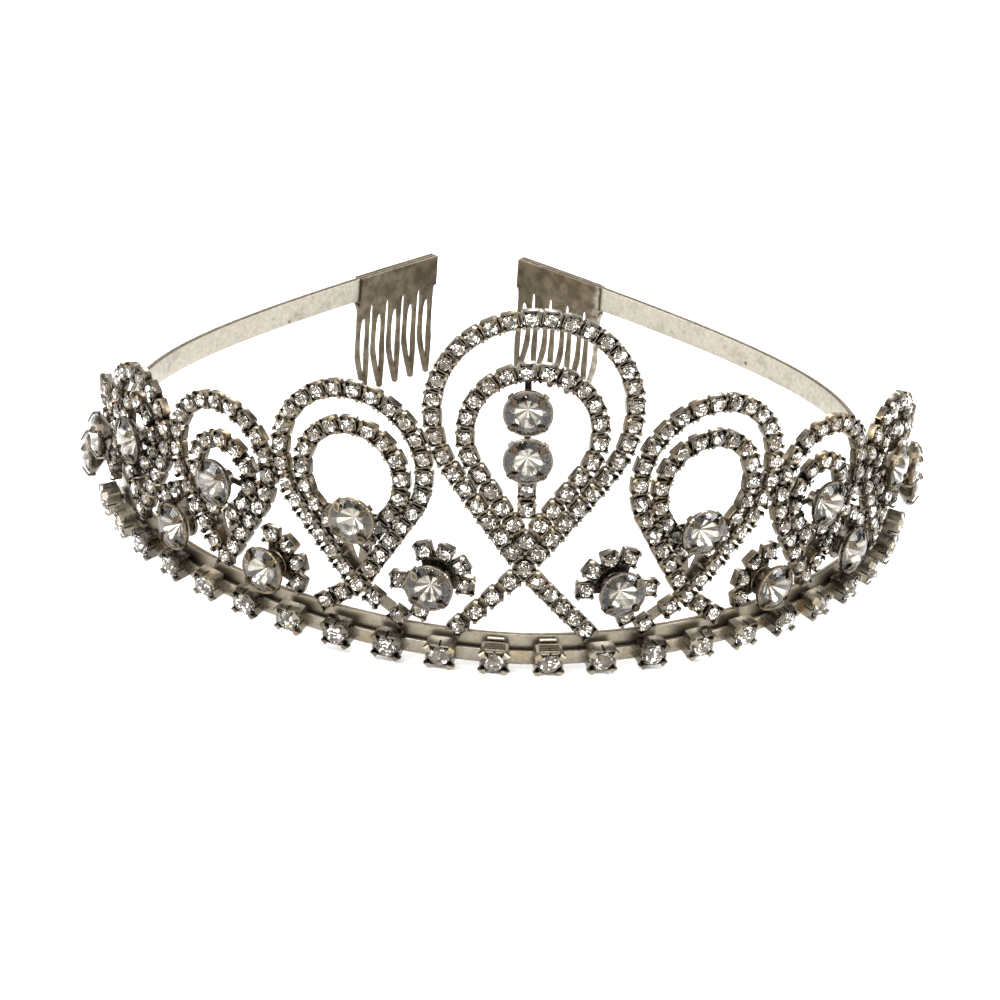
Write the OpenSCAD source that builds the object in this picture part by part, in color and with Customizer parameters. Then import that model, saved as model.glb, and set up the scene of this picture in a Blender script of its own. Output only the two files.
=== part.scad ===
// Pageant crown: springy headband with combs, stone rail and a panel of cup-chain loops.
// Millimetres. Origin: middle of the crown's box, on the surface that it rests on.
// The panel is laid out flat as (u, v): u along the band from the middle, v above the
// lowest edge of the rail's cups. place() and on_band() bend that layout round the plan,
// panel_place() and on_panel() also lean it outwards towards its two ends.

/* [Plan of the band] */
// Half of the crown's width at the panel's face
half_width = 62.3; // [60:0.1:66]
// From the widest line forward to the panel's face
front_depth = 55.9; // [54:0.1:60]
// Roundness of the front half, where 2 is an ellipse
plan_power = 1.81; // [1.75:0.01:2]
// Half of the gap between the band's two ends
end_half_gap = 9.3; // [7:0.1:12]
// From the widest line back to the band's ends
arm_depth = 90.7; // [88:0.1:95]
// Pull of the arm's curve at its front end
arm_front_pull = 34.7; // [31:0.1:38]
// Run of the arm's curve at its back end, sideways
arm_back_run = 59.7; // [56:0.1:61]
// Run of the arm's curve at its back end, forward
arm_back_rise = 50.2; // [47:0.1:53]

/* [Lean of the panel] */
// How far the panel leans outwards at its two ends, degrees
panel_flare = 6; // [0:0.5:8]
// How far the centre drop leans to the left, degrees
drop_lean = 3; // [0:0.5:4]

/* [Headband strip] */
// Height of the strip
band_height = 4.4; // [3.6:0.1:5]
// Thickness of the strip
band_thick = 0.8; // [0.6:0.05:1]
// Lower edge of the strip above the rail cups' lowest edge
band_low = 0.8; // [0.4:0.1:1.2]
// Clearance between pieces that are soldered or pressed together
seat_gap = 0.1; // [0.08:0.01:0.15]

/* [Rail] */
// Height of the rail's strip
rail_height = 2.2; // [1.8:0.1:2.4]
// Thickness of the rail's strip
rail_thick = 0.6; // [0.5:0.05:0.8]
// Lower edge of the rail's strip
rail_low = 0.8; // [0.4:0.1:1.2]
// Gap between the headband and the rail
rail_gap = 0.5; // [0.4:0.05:0.7]
// Spacing of the rail's cups
rail_pitch = 8; // [6:0.1:8.4]
// Cups on each half of the rail
rail_cups = 11; // [6:1:11]
// How far the rail's cups face down, degrees
rail_tilt = 12; // [6:1:16]
// Rail left past the last cup
rail_end = 3; // [2.2:0.1:5]
// Width of a rail cup's solder tab
tab_width = 2.6; // [2:0.1:3]
// Top of a tall solder tab below the headband's top edge
tab_drop = 0.4; // [0.2:0.1:1]
// Top of a short solder tab below the headband's top edge
short_tab_drop = 1.6; // [1.4:0.1:2]

/* [Rail cups] */
// Width of a rail cup
rail_cup_width = 3.9; // [3.4:0.1:4.2]
// Depth of a rail cup, prongs included
rail_cup_depth = 3; // [2.6:0.1:3.4]
// Thinnest wall beside the rail stone's seat
rail_cup_wall = 0.3; // [0.2:0.02:0.4]
// Floor of a rail cup
rail_cup_floor = 0.5; // [0.3:0.05:0.6]
// Height of a rail cup's corner prongs
rail_cup_prong = 0.9; // [0.7:0.05:1.1]
// Length of a rail prong's sides
rail_cup_prong_leg = 1.1; // [0.9:0.05:1.3]
// Crown height of a rail stone
rail_chip_crown = 0.8; // [0.6:0.05:0.9]

/* [Chain cups] */
// Width of a chain cup
cup_width = 2.7; // [2.5:0.05:2.8]
// Depth of a chain cup, prongs included
cup_depth = 2; // [1.8:0.05:2.3]
// Thinnest wall beside the stone's seat
cup_wall = 0.22; // [0.18:0.02:0.3]
// Floor of a chain cup
cup_floor = 0.4; // [0.38:0.02:0.5]
// Height of the corner prongs
cup_prong = 0.7; // [0.5:0.05:0.8]
// Length of a prong's sides
cup_prong_leg = 0.75; // [0.6:0.05:0.85]
// Crown height of a small stone
chip_crown = 0.6; // [0.45:0.05:0.7]
// Spacing of the cups along a chain
chain_pitch = 3.05; // [2.95:0.05:3.3]
// Width of the bar that links the cups
link_width = 1; // [0.6:0.1:1.4]
// Metal over and under the bar in the cups' floors
link_inset = 0.06; // [0.04:0.01:0.1]
// Length of a bar inside each of its cups
link_bite = 0.54; // [0.4:0.02:0.7]

/* [Large stones and settings] */
// Diameter of a large round stone
stone_diameter = 6.8; // [6.4:0.1:7.2]
// Height of the stone's girdle
stone_girdle = 0.2; // [0.15:0.05:0.3]
// Height of the crown facets
stone_crown = 0.9; // [0.7:0.05:1.1]
// Depth of the pointed back
stone_pavilion = 2.2; // [2:0.05:2.3]
// Diameter of the table
stone_table = 3.9; // [3.5:0.1:4.2]
// Girdle in front of the panel's face
stone_proud = 1.2; // [1:0.05:1.4]
// Wall of the setting's cone
seat_wall = 0.43; // [0.35:0.01:0.5]
// Rim of the setting's cone below the girdle
seat_below = 0.5; // [0.4:0.05:0.7]
// Radius of the stud behind the cone
stud_radius = 1.4; // [1.1:0.05:1.6]
// Thickness of the bar that ties a setting to its motif
tie_thick = 0.36; // [0.3:0.01:0.37]
// Width of a setting's prong
prong_width = 0.8; // [0.6:0.05:1]
// Thickness of a setting's prong
prong_thick = 0.43; // [0.35:0.01:0.5]
// Length that a prong's tip lies over the stone
prong_reach = 0.8; // [0.5:0.05:1]
// Foot of the last setting's post above the headband's lower edge
last_post_foot = 2; // [1.5:0.1:3]
// How far the last setting stands out past the others
last_lift = 1.2; // [0:0.1:1.6]

/* [Flowers] */
// Radius of the ring of cups round a flower's large stone
flower_radius = 5.1; // [5:0.05:5.2]
// Thickness of the plate behind the large stone
flower_plate_thick = 0.5; // [0.38:0.02:0.6]
// Rim of that plate round the stud
flower_plate_rim = 0.9; // [0.5:0.1:1.1]

/* [Combs] */
// Length of a comb along the band
comb_length = 18; // [17:0.5:22]
// Wall of the channel round the strip
comb_wall = 0.4; // [0.3:0.05:0.6]
// Spine of the comb below the headband
comb_spine = 1; // [0.8:0.1:1.6]
// Teeth on a comb
comb_teeth = 5; // [3:1:5]
// Width of one wire of a tooth
tooth_wire = 0.85; // [0.7:0.05:1]
// Thickness of a tooth
tooth_thick = 0.8; // [0.6:0.05:1]
// Width over both wires of a tooth
tooth_width = 3.1; // [2.7:0.1:3.4]
// Length of a tooth's straight upper part
tooth_upper = 9.4; // [7:0.1:10]
// Solid top of a tooth, above its two wires
tooth_trunk = 2.6; // [1:0.2:4]
// Length of a tooth's turned-in lower part
tooth_lower = 6.6; // [4.8:0.2:7]
// How far the lower part turns in towards the head, degrees
tooth_turn = 9; // [4:1:14]
// Straight part of the tooth above its rounded tip
tooth_point = 1.9; // [1.4:0.1:2.2]
// Height above the tip at which the two wires part
tooth_fork = 2.7; // [2.4:0.1:3.2]
// Diameter of the rounded tip
tip_diameter = 1.2; // [1:0.05:1.4]

/* [Stone clearance] */
// Gap left round each stone
stone_gap = 0.1; // [0.08:0.01:0.14]

/* [Hidden] */
plan_steps = 40;
arm_steps = 26;
$fn = 40;

silver = [0.78, 0.76, 0.71];
dark_silver = [0.52, 0.47, 0.40];
crystal = [0.86, 0.88, 0.92];

// Motifs, as chosen points of the chains' routes: centre and radius of the outer loop, its tip,
// centre and radius of the inner loop and its tip, large stone, ends of the two legs.
CU = 0; CV = 1; R = 2; TU = 3; TV = 4; IU = 5; IV = 6; IR = 7; ITU = 8; ITV = 9; SU = 10; SV = 11; LU = 12; LV = 13; MU = 14; MV = 15;
centre_row = [-0.6, 41.2, 15.2, -0.5, 16.6, -0.6, 38.1, 10.1, -0.6, 21, 0, 0, -9.8, 6.4, 9.6, 6.4];
inner_row = [28.1, 29.3, 11.8, 25.6, 10.2, 27.8, 27.4, 8.1, 26.6, 15.2, 26.4, 21.4, 18.9, 6.5, 30.8, 6.3];
middle_row = [51.4, 22.7, 9.5, 49.6, 6.8, 50.8, 20.7, 5.5, 50.2, 12.8, 50.6, 20, 0, 0, 0, 0];
outer_row = [71.7, 21, 7.9, 70.9, 6, 71.7, 19.8, 4.5, 71.3, 12.6, 71.3, 18.6, 0, 0, 0, 0];
end_row = [87, 14.4, 5.8, 86.2, 5.6, 0, 0, 0, 0, 0, 86.4, 12.2, 0, 0, 0, 0];
// The centre drop: its lowest cup, then its cups and large stones as distances along it
drop_foot = [-0.8, 26.3];
drop_stem = [3.1, 0];
drop_stones = [16.4, 8.8];
// The last large stone at each end of the panel
last_stone = [92, 6.4];
// Least distance of that stone's centre past the rail's end
last_past_rail = 5;
// Flowers: centre and the angles of the ring's cups
FU = 0; FV = 1; FA = 2;
inner_flower_row = [14.1, 13, [-6, 72, 108, 143.5, 179, 288]];
middle_flower_row = [40.7, 8.9, [88, 124, 160, 195]];
outer_flower_row = [59.2, 9.2, [-31, 3, 37, 70]];
// Rail cups with a tall tab, counted from the middle; the others end under a chain
tall_tabs = [0];

// Small overlaps that join the parts of one solid, and the steps in a prong's tip
join = 0.1;
rail_cup_sink = 0.25;
tab_foot = 0.4;
tie_bite = 0.5;
spoke_bite = 0.35;
spine_bite = 0.2;
tooth_bite = 0.3;
tooth_shoulder = 0.6;
prong_foot = 0.45;
prong_rise = 0.25;
prong_nose = 0.12;
prong_tip_thick = 0.36;
tip_cup_lift = 0.6;

// Plan of the right half from the front middle to the band's end
front_points = [for (i = [0:plan_steps]) let (t = 90 * i / plan_steps)
  [half_width * pow(sin(t), 2 / plan_power), -front_depth * pow(cos(t), 2 / plan_power)]];
arm_ctrl = [[half_width, 0], [half_width, arm_front_pull],
  [end_half_gap + arm_back_run, arm_depth - arm_back_rise], [end_half_gap, arm_depth]];
function bezier(p, t) =
  pow(1 - t, 3) * p[0] + 3 * t * pow(1 - t, 2) * p[1] + 3 * t * t * (1 - t) * p[2] + pow(t, 3) * p[3];
arm_points = [for (i = [1:arm_steps]) bezier(arm_ctrl, i / arm_steps)];
plan_points = concat(front_points, arm_points);
run_lengths = [for (i = 0, s = 0; i < len(plan_points);
  s = s + (i + 1 < len(plan_points) ? norm(plan_points[i + 1] - plan_points[i]) : 0), i = i + 1) s];
run_x = [for (i = [0:len(plan_points) - 1]) [run_lengths[i], plan_points[i].x]];
run_y = [for (i = [0:len(plan_points) - 1]) [run_lengths[i], plan_points[i].y]];
band_run = run_lengths[len(run_lengths) - 1];

function plan_xy(s) = [sign(s) * lookup(abs(s), run_x), lookup(abs(s), run_y)];
function plan_dir(s) = let (m = min(s, band_run - 0.6), d = plan_xy(m + 0.5) - plan_xy(m - 0.5)) d / norm(d);
function plan_out(s) = let (t = plan_dir(s)) [t.y, -t.x];
function place(u, v, off) = let (p = plan_xy(u) + off * plan_out(u)) [p.x, p.y, v];

// Lean of the panel at u, its outward and upward directions there, and a point on it
function flare_at(u) = panel_flare * pow(min(abs(u) / last_stone[0], 1), 3);
function panel_out(u) = let (n = plan_out(u), f = flare_at(u)) [n.x * cos(f), n.y * cos(f), -sin(f)];
function panel_up(u) = let (n = plan_out(u), f = flare_at(u)) [n.x * sin(f), n.y * sin(f), cos(f)];
function panel_place(u, v, off) = place(u, band_low, 0) + (v - band_low) * panel_up(u) + off * panel_out(u);

// Local frame at the point o: X along the chain, Z outwards, tilted down and spun
module seat_at(o, u, spin, tilt) {
  t = plan_dir(u);
  n = plan_out(u);
  ax = [t.x, t.y, 0];
  az = [n.x * cos(tilt), n.y * cos(tilt), -sin(tilt)];
  ay = [n.x * sin(tilt), n.y * sin(tilt), cos(tilt)];
  ex = cos(spin) * ax + sin(spin) * ay;
  ey = cos(spin) * ay - sin(spin) * ax;
  multmatrix([[ex.x, ey.x, az.x, o.x], [ex.y, ey.y, az.y, o.y], [ex.z, ey.z, az.z, o.z], [0, 0, 0, 1]]) children();
}
module on_band(u, v, off = 0, spin = 0, tilt = 0) seat_at(place(u, v, off), u, spin, tilt) children();
module on_panel(u, v, off = 0, spin = 0) seat_at(panel_place(u, v, off), u, spin, flare_at(u)) children();

// Layers outwards from the panel's face
cup_back = -cup_depth;
band_front = cup_back - seat_gap;
band_back = band_front - band_thick;
band_top = band_low + band_height;
rail_back = band_front + rail_gap;
rail_front = rail_back + rail_thick;
rail_cup_off = rail_front - rail_cup_sink;
rail_cup_v = rail_cup_depth * sin(rail_tilt) + rail_cup_width / 2 * cos(rail_tilt);
rail_run = (rail_cups - 0.5) * rail_pitch + rail_end;
last_u = max(last_stone[0], rail_run + last_past_rail);
stone_radius = stone_diameter / 2;
culet = stone_proud - stone_pavilion;
chip_radius = cup_width / 2 - cup_wall - stone_gap;
rail_chip_radius = rail_cup_width / 2 - rail_cup_wall - stone_gap;
chip_table = 0.6;

// Strip that follows the plan between two runs, as a plan outline
function strip(a, b, off_in, off_out, n) = concat(
  [for (i = [0:n]) let (q = place(a + (b - a) * i / n, 0, off_out)) [q.x, q.y]],
  [for (i = [n:-1:0]) let (q = place(a + (b - a) * i / n, 0, off_in)) [q.x, q.y]]);
module band_strip(a, b, off_in, off_out, low, height, n) {
  translate([0, 0, low]) linear_extrude(height) polygon(strip(a, b, off_in, off_out, n));
}

// Routes of the loops: a circle and its two tangents to a tip
function tear_total(c, r, tip) = let (d = norm(c - tip)) 2 * sqrt(d * d - r * r) + r * PI * (1 + asin(r / d) / 90);
function tear_at(c, r, tip, q) = let (
    d = norm(c - tip), a = atan2(c.y - tip.y, c.x - tip.x), h = asin(r / d), l = sqrt(d * d - r * r),
    w = tear_total(c, r, tip))
  q < l ? [tip.x + q * cos(a - h), tip.y + q * sin(a - h), a - h]
  : q < w - l ? let (th = a - h - 90 + (q - l) / r * 180 / PI) [c.x + r * cos(th), c.y + r * sin(th), th + 90]
  : [tip.x + (w - q) * cos(a + h), tip.y + (w - q) * sin(a + h), a + h + 180];
// Cups of a loop, clear of the other side at the tip
function tear_cups(c, r, tip) = let (
    w = tear_total(c, r, tip), h = asin(r / norm(c - tip)),
    first = (cup_width / 2 * (sin(h) + cos(h)) + stone_gap) / sin(h),
    n = floor((w - 2 * first) / chain_pitch + 0.35))
  [for (i = [0:n]) tear_at(c, r, tip, first + (w - 2 * first) * i / n)];
// Cups of a leg from the tip to its end
function leg_cups(tip, foot, first) = let (
    d = foot - tip, l = norm(d), n = floor((l - first) / chain_pitch + 0.4))
  [for (i = [0:n]) let (q = first + (l - first) * i / max(n, 1))
    [tip.x + d.x * q / l, tip.y + d.y * q / l, atan2(d.y, d.x)]];
function flower_cups(f) =
  [for (a = f[FA]) [f[FU] + flower_radius * cos(a), f[FV] + flower_radius * sin(a), a + 90]];

function outer_cups(m) = tear_cups([m[CU], m[CV]], m[R], [m[TU], m[TV]]);
function inner_cups(m) = m[IR] > 0 ? tear_cups([m[IU], m[IV]], m[IR], [m[ITU], m[ITV]]) : [];
function flip(list) = [for (i = [len(list) - 1:-1:0]) list[i]];
function tip_cup(m) = m[LV] > 0 ? [m[TU], m[TV], 45] : [m[TU], m[TV] + tip_cup_lift, 90];
function foot_cups(m) = m[LV] > 0 ? concat(flip(leg_cups([m[TU], m[TV]], [m[LU], m[LV]], chain_pitch)),
    [tip_cup(m)], leg_cups([m[TU], m[TV]], [m[MU], m[MV]], chain_pitch)) : [tip_cup(m)];
function motif_cups(m) = concat(outer_cups(m), inner_cups(m), foot_cups(m));
inner_tip_cup = [centre_row[ITU], centre_row[ITV], 45];
function on_drop(q) = drop_foot + q * [-sin(drop_lean), cos(drop_lean)];
stem_cups = [for (q = drop_stem) let (p = on_drop(q)) [p.x, p.y, 90 + drop_lean]];
centre_cups = concat(motif_cups(centre_row), [inner_tip_cup], stem_cups);

// Square cup with four corner prongs and a round seat for its stone, its back on z = 0
module cup(w, depth, floor_thick, seat_r, prong, prong_leg) {
  cut = sqrt(2) * (w - prong_leg);
  difference() {
    translate([-w / 2, -w / 2, 0]) cube([w, w, depth]);
    rotate([0, 0, 45]) translate([-cut / 2, -cut / 2, depth - prong]) cube([cut, cut, depth]);
    translate([0, 0, floor_thick]) cylinder(r = seat_r, h = depth);
  }
}
module chain_cup(c) {
  on_panel(c[0], c[1], cup_back, c[2])
    cup(cup_width, cup_depth, cup_floor, cup_width / 2 - cup_wall, cup_prong, cup_prong_leg);
}
// Bar between two cups that follow each other, inside the thickness of their floors
module chain_link(a, b) {
  p = panel_place(a[0], a[1], cup_back);
  q = panel_place(b[0], b[1], cup_back);
  n = panel_out((a[0] + b[0]) / 2);
  ax = (q - p) / norm(q - p);
  side = cross(n, ax);
  ay = side / norm(side);
  az = cross(ax, ay);
  m = (p + q) / 2;
  long = norm(q - p) - cup_width + 2 * link_bite;
  multmatrix([[ax.x, ay.x, az.x, m.x], [ax.y, ay.y, az.y, m.y], [ax.z, ay.z, az.z, m.z], [0, 0, 0, 1]])
    translate([-long / 2, -link_width / 2, link_inset]) cube([long, link_width, cup_floor - 2 * link_inset]);
}
module chain(list) {
  for (c = list) chain_cup(c);
  if (len(list) > 1) for (i = [1:len(list) - 1]) chain_link(list[i - 1], list[i]);
}
// A motif's chains, all soldered to the cup at the tip
module loops(m) {
  out = outer_cups(m);
  in = inner_cups(m);
  chain(out);
  chain_link(out[0], tip_cup(m));
  chain_link(out[len(out) - 1], tip_cup(m));
  if (len(in) > 0) {
    chain(in);
    chain_link(in[0], tip_cup(m));
    chain_link(in[len(in) - 1], tip_cup(m));
  }
  chain(foot_cups(m));
}

// Cut stone: table, crown facets, girdle and pointed back; z = 0 at the girdle's lower edge
module cut_stone(r, table_r, crown, girdle, pavilion, sides) {
  half = sides / 2;
  ring = [for (i = [0:sides - 1]) [r * cos(360 * i / sides), r * sin(360 * i / sides)]];
  low = [for (p = ring) [p.x, p.y, 0]];
  high = [for (p = ring) [p.x, p.y, girdle]];
  table = [for (i = [0:half - 1])
    [table_r * cos(360 * (i + 0.5) / half), table_r * sin(360 * (i + 0.5) / half), girdle + crown]];
  points = concat([[0, 0, -pavilion]], low, high, table);
  h0 = 1 + sides;
  t0 = 1 + 2 * sides;
  polyhedron(points, concat(
    [for (i = [0:sides - 1]) [0, 1 + i, 1 + (i + 1) % sides]],
    [for (i = [0:sides - 1]) [1 + i, h0 + i, h0 + (i + 1) % sides, 1 + (i + 1) % sides]],
    [for (i = [0:half - 1]) [h0 + 2 * i, t0 + i, h0 + 2 * i + 1]],
    [for (i = [0:half - 1]) [h0 + 2 * i + 1, t0 + i, h0 + (2 * i + 2) % sides]],
    [for (i = [0:half - 1]) [h0 + (2 * i + 2) % sides, t0 + i, t0 + (i + 1) % half]],
    [[for (i = [half - 1:-1:0]) t0 + i]]));
}
// Small stone with an octagonal table and eight crown and eight back facets; z = 0 at its edge
module chip(r, crown, back) {
  ring = [for (i = [0:7]) [r * cos(45 * i + 22.5), r * sin(45 * i + 22.5), 0]];
  table = [for (p = ring) [p.x * chip_table, p.y * chip_table, crown]];
  polyhedron(concat([[0, 0, -back]], ring, table), concat(
    [for (i = [0:7]) [0, 1 + i, 1 + (i + 1) % 8]],
    [for (i = [0:7]) [1 + i, 9 + i, 9 + (i + 1) % 8, 1 + (i + 1) % 8]],
    [[for (i = [7:-1:0]) 9 + i]]));
}
module chips(list) {
  for (c = list) on_panel(c[0], c[1], -chip_crown, c[2])
    chip(chip_radius, chip_crown, cup_depth - cup_floor - stone_gap - chip_crown);
}

// Shape of a large setting, outwards from the panel's face
seat_rim = stone_proud - seat_below;
seat_slope = stone_radius / stone_pavilion;
prong_lift = stone_proud + stone_girdle + 1.2 * stone_gap;
prong_tip = stone_radius - prong_reach;
prong_slope = stone_crown / (stone_radius - stone_table / 2);
prong_tip_off = prong_lift + prong_reach * prong_slope;
prong_top_off = prong_tip_off + prong_tip_thick;

// Setting of a large stone: stud, cone and four folded prongs; z = 0 at the panel's face
module large_setting() {
  start = culet + stone_gap;
  wall = seat_wall + stone_gap;
  bore_start = culet - stone_gap / seat_slope;
  bore_depth = seat_rim + 1 - bore_start;
  difference() {
    union() {
      translate([0, 0, cup_back]) cylinder(r = stud_radius, h = start - cup_back + tie_bite);
      translate([0, 0, start])
        cylinder(r1 = (start - culet) * seat_slope + wall, r2 = (seat_rim - culet) * seat_slope + wall, h = seat_rim - start);
    }
    translate([0, 0, bore_start]) cylinder(r1 = 0, r2 = bore_depth * seat_slope, h = bore_depth);
  }
  in = stone_radius + stone_gap;
  out = in + prong_thick;
  low = seat_rim - prong_foot;
  seat_in = (seat_rim - culet) * seat_slope + stone_gap + join;
  for (a = [45:90:315]) rotate([0, 0, a]) rotate([90, 0, 0]) translate([0, 0, -prong_width / 2])
    linear_extrude(prong_width) polygon([[seat_in, low], [out, low], [out, prong_lift + prong_rise],
      [prong_tip + prong_nose, prong_top_off], [prong_tip, prong_tip_off],
      [in, prong_lift - (in - stone_radius) * prong_slope], [in, seat_rim], [seat_in, seat_rim]]);
}
// Stud's tie bar at the back of the panel
module tie_bar(from, to) {
  translate([from, -link_width / 2, cup_back]) cube([to - from, link_width, tie_thick]);
}
module large_stone(u, v, lift = 0) {
  on_panel(u, v, stone_proud + lift) cut_stone(stone_radius, stone_table / 2, stone_crown, stone_girdle, stone_pavilion, 16);
}

module motif(m) {
  loops(m);
  ring = m[IR] > 0 ? [m[IU], m[IV], m[IR]] : [m[CU], m[CV], m[R]];
  half = sqrt(pow(ring[2], 2) - pow(m[SV] - ring[1], 2)) - cup_width / 2 + tie_bite;
  on_panel(m[SU], m[SV]) {
    large_setting();
    tie_bar(ring[0] - m[SU] - half, ring[0] - m[SU] + half);
  }
}
module flower(f) {
  for (c = flower_cups(f)) chain_cup(c);
  on_panel(f[FU], f[FV]) {
    large_setting();
    translate([0, 0, cup_back]) cylinder(r = stud_radius + flower_plate_rim, h = flower_plate_thick);
    for (a = f[FA]) rotate([0, 0, a]) tie_bar(0, flower_radius - cup_width / 2 + spoke_bite);
  }
}
module centre_motif() {
  loops(centre_row);
  chain_cup(inner_tip_cup);
  chain(stem_cups);
  for (q = drop_stones) let (p = on_drop(q)) on_panel(p.x, p.y) large_setting();
  reach = (centre_row[IV] + centre_row[IR] - cup_width / 2 + tie_bite - drop_foot.y) / cos(drop_lean);
  on_panel(drop_foot.x, drop_foot.y, 0, 90 + drop_lean) tie_bar(0, reach);
}
module last_setting() {
  post = last_stone[1] - band_low - last_post_foot;
  on_panel(last_u, last_stone[1]) {
    translate([0, 0, last_lift]) large_setting();
    translate([-stud_radius, -post, cup_back]) cube([2 * stud_radius, post, flower_plate_thick + last_lift]);
  }
}

module headband() {
  band_strip(-band_run, band_run, band_back, band_front, band_low, band_height, 2 * plan_steps + 40);
}
module rail() {
  tab_low = rail_low + tab_foot;
  band_strip(-rail_run, rail_run, rail_back, rail_front, rail_low, rail_height, 2 * plan_steps);
  for (side = [-1, 1], k = [0:rail_cups - 1]) {
    u = side * (k + 0.5) * rail_pitch;
    tab_top = band_top - (len(search(k, tall_tabs)) > 0 ? tab_drop : short_tab_drop);
    on_band(u, rail_cup_v, rail_cup_off, 0, rail_tilt)
      cup(rail_cup_width, rail_cup_depth, rail_cup_floor, rail_cup_width / 2 - rail_cup_wall, rail_cup_prong, rail_cup_prong_leg);
    on_band(u, 0) translate([-tab_width / 2, tab_low, band_front + seat_gap])
      cube([tab_width, tab_top - tab_low, rail_front - join - band_front - seat_gap]);
  }
}
module rail_stones() {
  back = rail_cup_depth - rail_cup_floor - stone_gap - rail_chip_crown;
  for (side = [-1, 1], k = [0:rail_cups - 1])
    on_band(side * (k + 0.5) * rail_pitch, rail_cup_v, rail_cup_off, 0, rail_tilt)
      translate([0, 0, rail_cup_depth - rail_chip_crown]) chip(rail_chip_radius, rail_chip_crown, back);
}

// Comb on the right arm: channel round the strip, spine and forked teeth
comb_from = band_run - comb_length;
comb_low = band_low - seat_gap - comb_spine;
comb_out = band_front + seat_gap + comb_wall;
comb_in = band_back - seat_gap - comb_wall;
tooth_pitch = (comb_length - tooth_width) / (comb_teeth - 1);
tooth_off = (band_front + band_back) / 2;
module tooth() {
  half = tooth_width / 2;
  point = tip_diameter * 0.36;
  mid = tooth_thick / 2;
  mitre = mid * tan(tooth_turn / 2);
  fall = tooth_lower * cos(tooth_turn);
  low = tooth_upper + fall;
  shoulder = tooth_upper + tooth_shoulder;
  over = tooth_lower + mid;
  end = [-tooth_upper - over * cos(tooth_turn), -over * sin(tooth_turn)];
  side = mid * [-sin(tooth_turn), cos(tooth_turn)];
  intersection() {
    translate([-half - 1, 0, 0]) rotate([90, 0, 90]) linear_extrude(2 * half + 2) polygon(
      [[tooth_bite, mid], [-tooth_upper - mitre, mid], end + side, end - side, [-tooth_upper + mitre, -mid], [tooth_bite, -mid]]);
    translate([0, 0, -tooth_lower]) linear_extrude(tooth_lower + 1) difference() {
      polygon([[-half, tooth_bite], [-half, -shoulder], [-point, tooth_point - low], [-point, -low],
        [point, -low], [point, tooth_point - low], [half, -shoulder], [half, tooth_bite]]);
      polygon([[tooth_wire - half, -tooth_trunk], [tooth_wire - half, -shoulder], [0, tooth_fork - low],
        [half - tooth_wire, -shoulder], [half - tooth_wire, -tooth_trunk]]);
    }
  }
  translate([0, -low, -tooth_lower * sin(tooth_turn)]) rotate([tooth_turn, 0, -90]) sphere(d = tip_diameter);
}
module comb() {
  band_strip(comb_from, band_run, comb_out - comb_wall, comb_out, comb_low, band_top - comb_low, 8);
  band_strip(comb_from, band_run, comb_in, comb_in + comb_wall, comb_low, band_top - comb_low, 8);
  band_strip(comb_from, band_run, comb_in + spine_bite, comb_out - spine_bite, comb_low, comb_spine, 8);
  for (i = [0:comb_teeth - 1])
    on_band(comb_from + tooth_width / 2 + i * tooth_pitch, comb_low, tooth_off) tooth();
}

// Pitch at which the front cups and the combs' tips both touch the surface
tip_u = comb_from + tooth_width / 2;
tip_in = tooth_lower * sin(tooth_turn);
tip_y = place(tip_u, 0, tooth_off - tip_in).y;
tip_v = comb_low - tooth_upper - tooth_lower * cos(tooth_turn);
front_out = rail_cup_off + rail_cup_depth * cos(rail_tilt) - rail_cup_width / 2 * sin(rail_tilt);
front_y = place(rail_pitch / 2, 0, front_out).y;
function pitch_at(p, n) = n == 0 ? p
  : pitch_at(atan((tip_diameter / 2 / cos(p) - tip_v) / (tip_y - front_y)), n - 1);
rest_pitch = pitch_at(6, 6);
// Middle of the crown between the drop's foremost prong and the bend of the combs' last teeth
function rest_y(y, v) = y * cos(rest_pitch) - v * sin(rest_pitch);
prong_high = on_drop(drop_stones[0]).y + (prong_tip + prong_nose + prong_width / 2) / sqrt(2);
rear_y = place(band_run, 0, tooth_off + tooth_thick / 2).y;
mid_y = (rest_y(-front_depth - prong_top_off, prong_high) + rest_y(rear_y, comb_low - tooth_upper)) / 2;
module at_rest() {
  translate([0, -mid_y, -front_y * sin(rest_pitch)]) rotate([rest_pitch, 0, 0]) children();
}
module mirrored(left) {
  if (left) mirror([1, 0, 0]) children(); else children();
}

motif_names = ["inner", "middle", "outer", "end"];
motif_rows = [inner_row, middle_row, outer_row, end_row];
flower_names = ["inner_flower", "middle_flower", "outer_flower"];
stone_ring_names = ["inner_flower", "middle_flower"];
flower_rows = [inner_flower_row, middle_flower_row, outer_flower_row];
SIDES = ["left_", "right_"];

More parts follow.
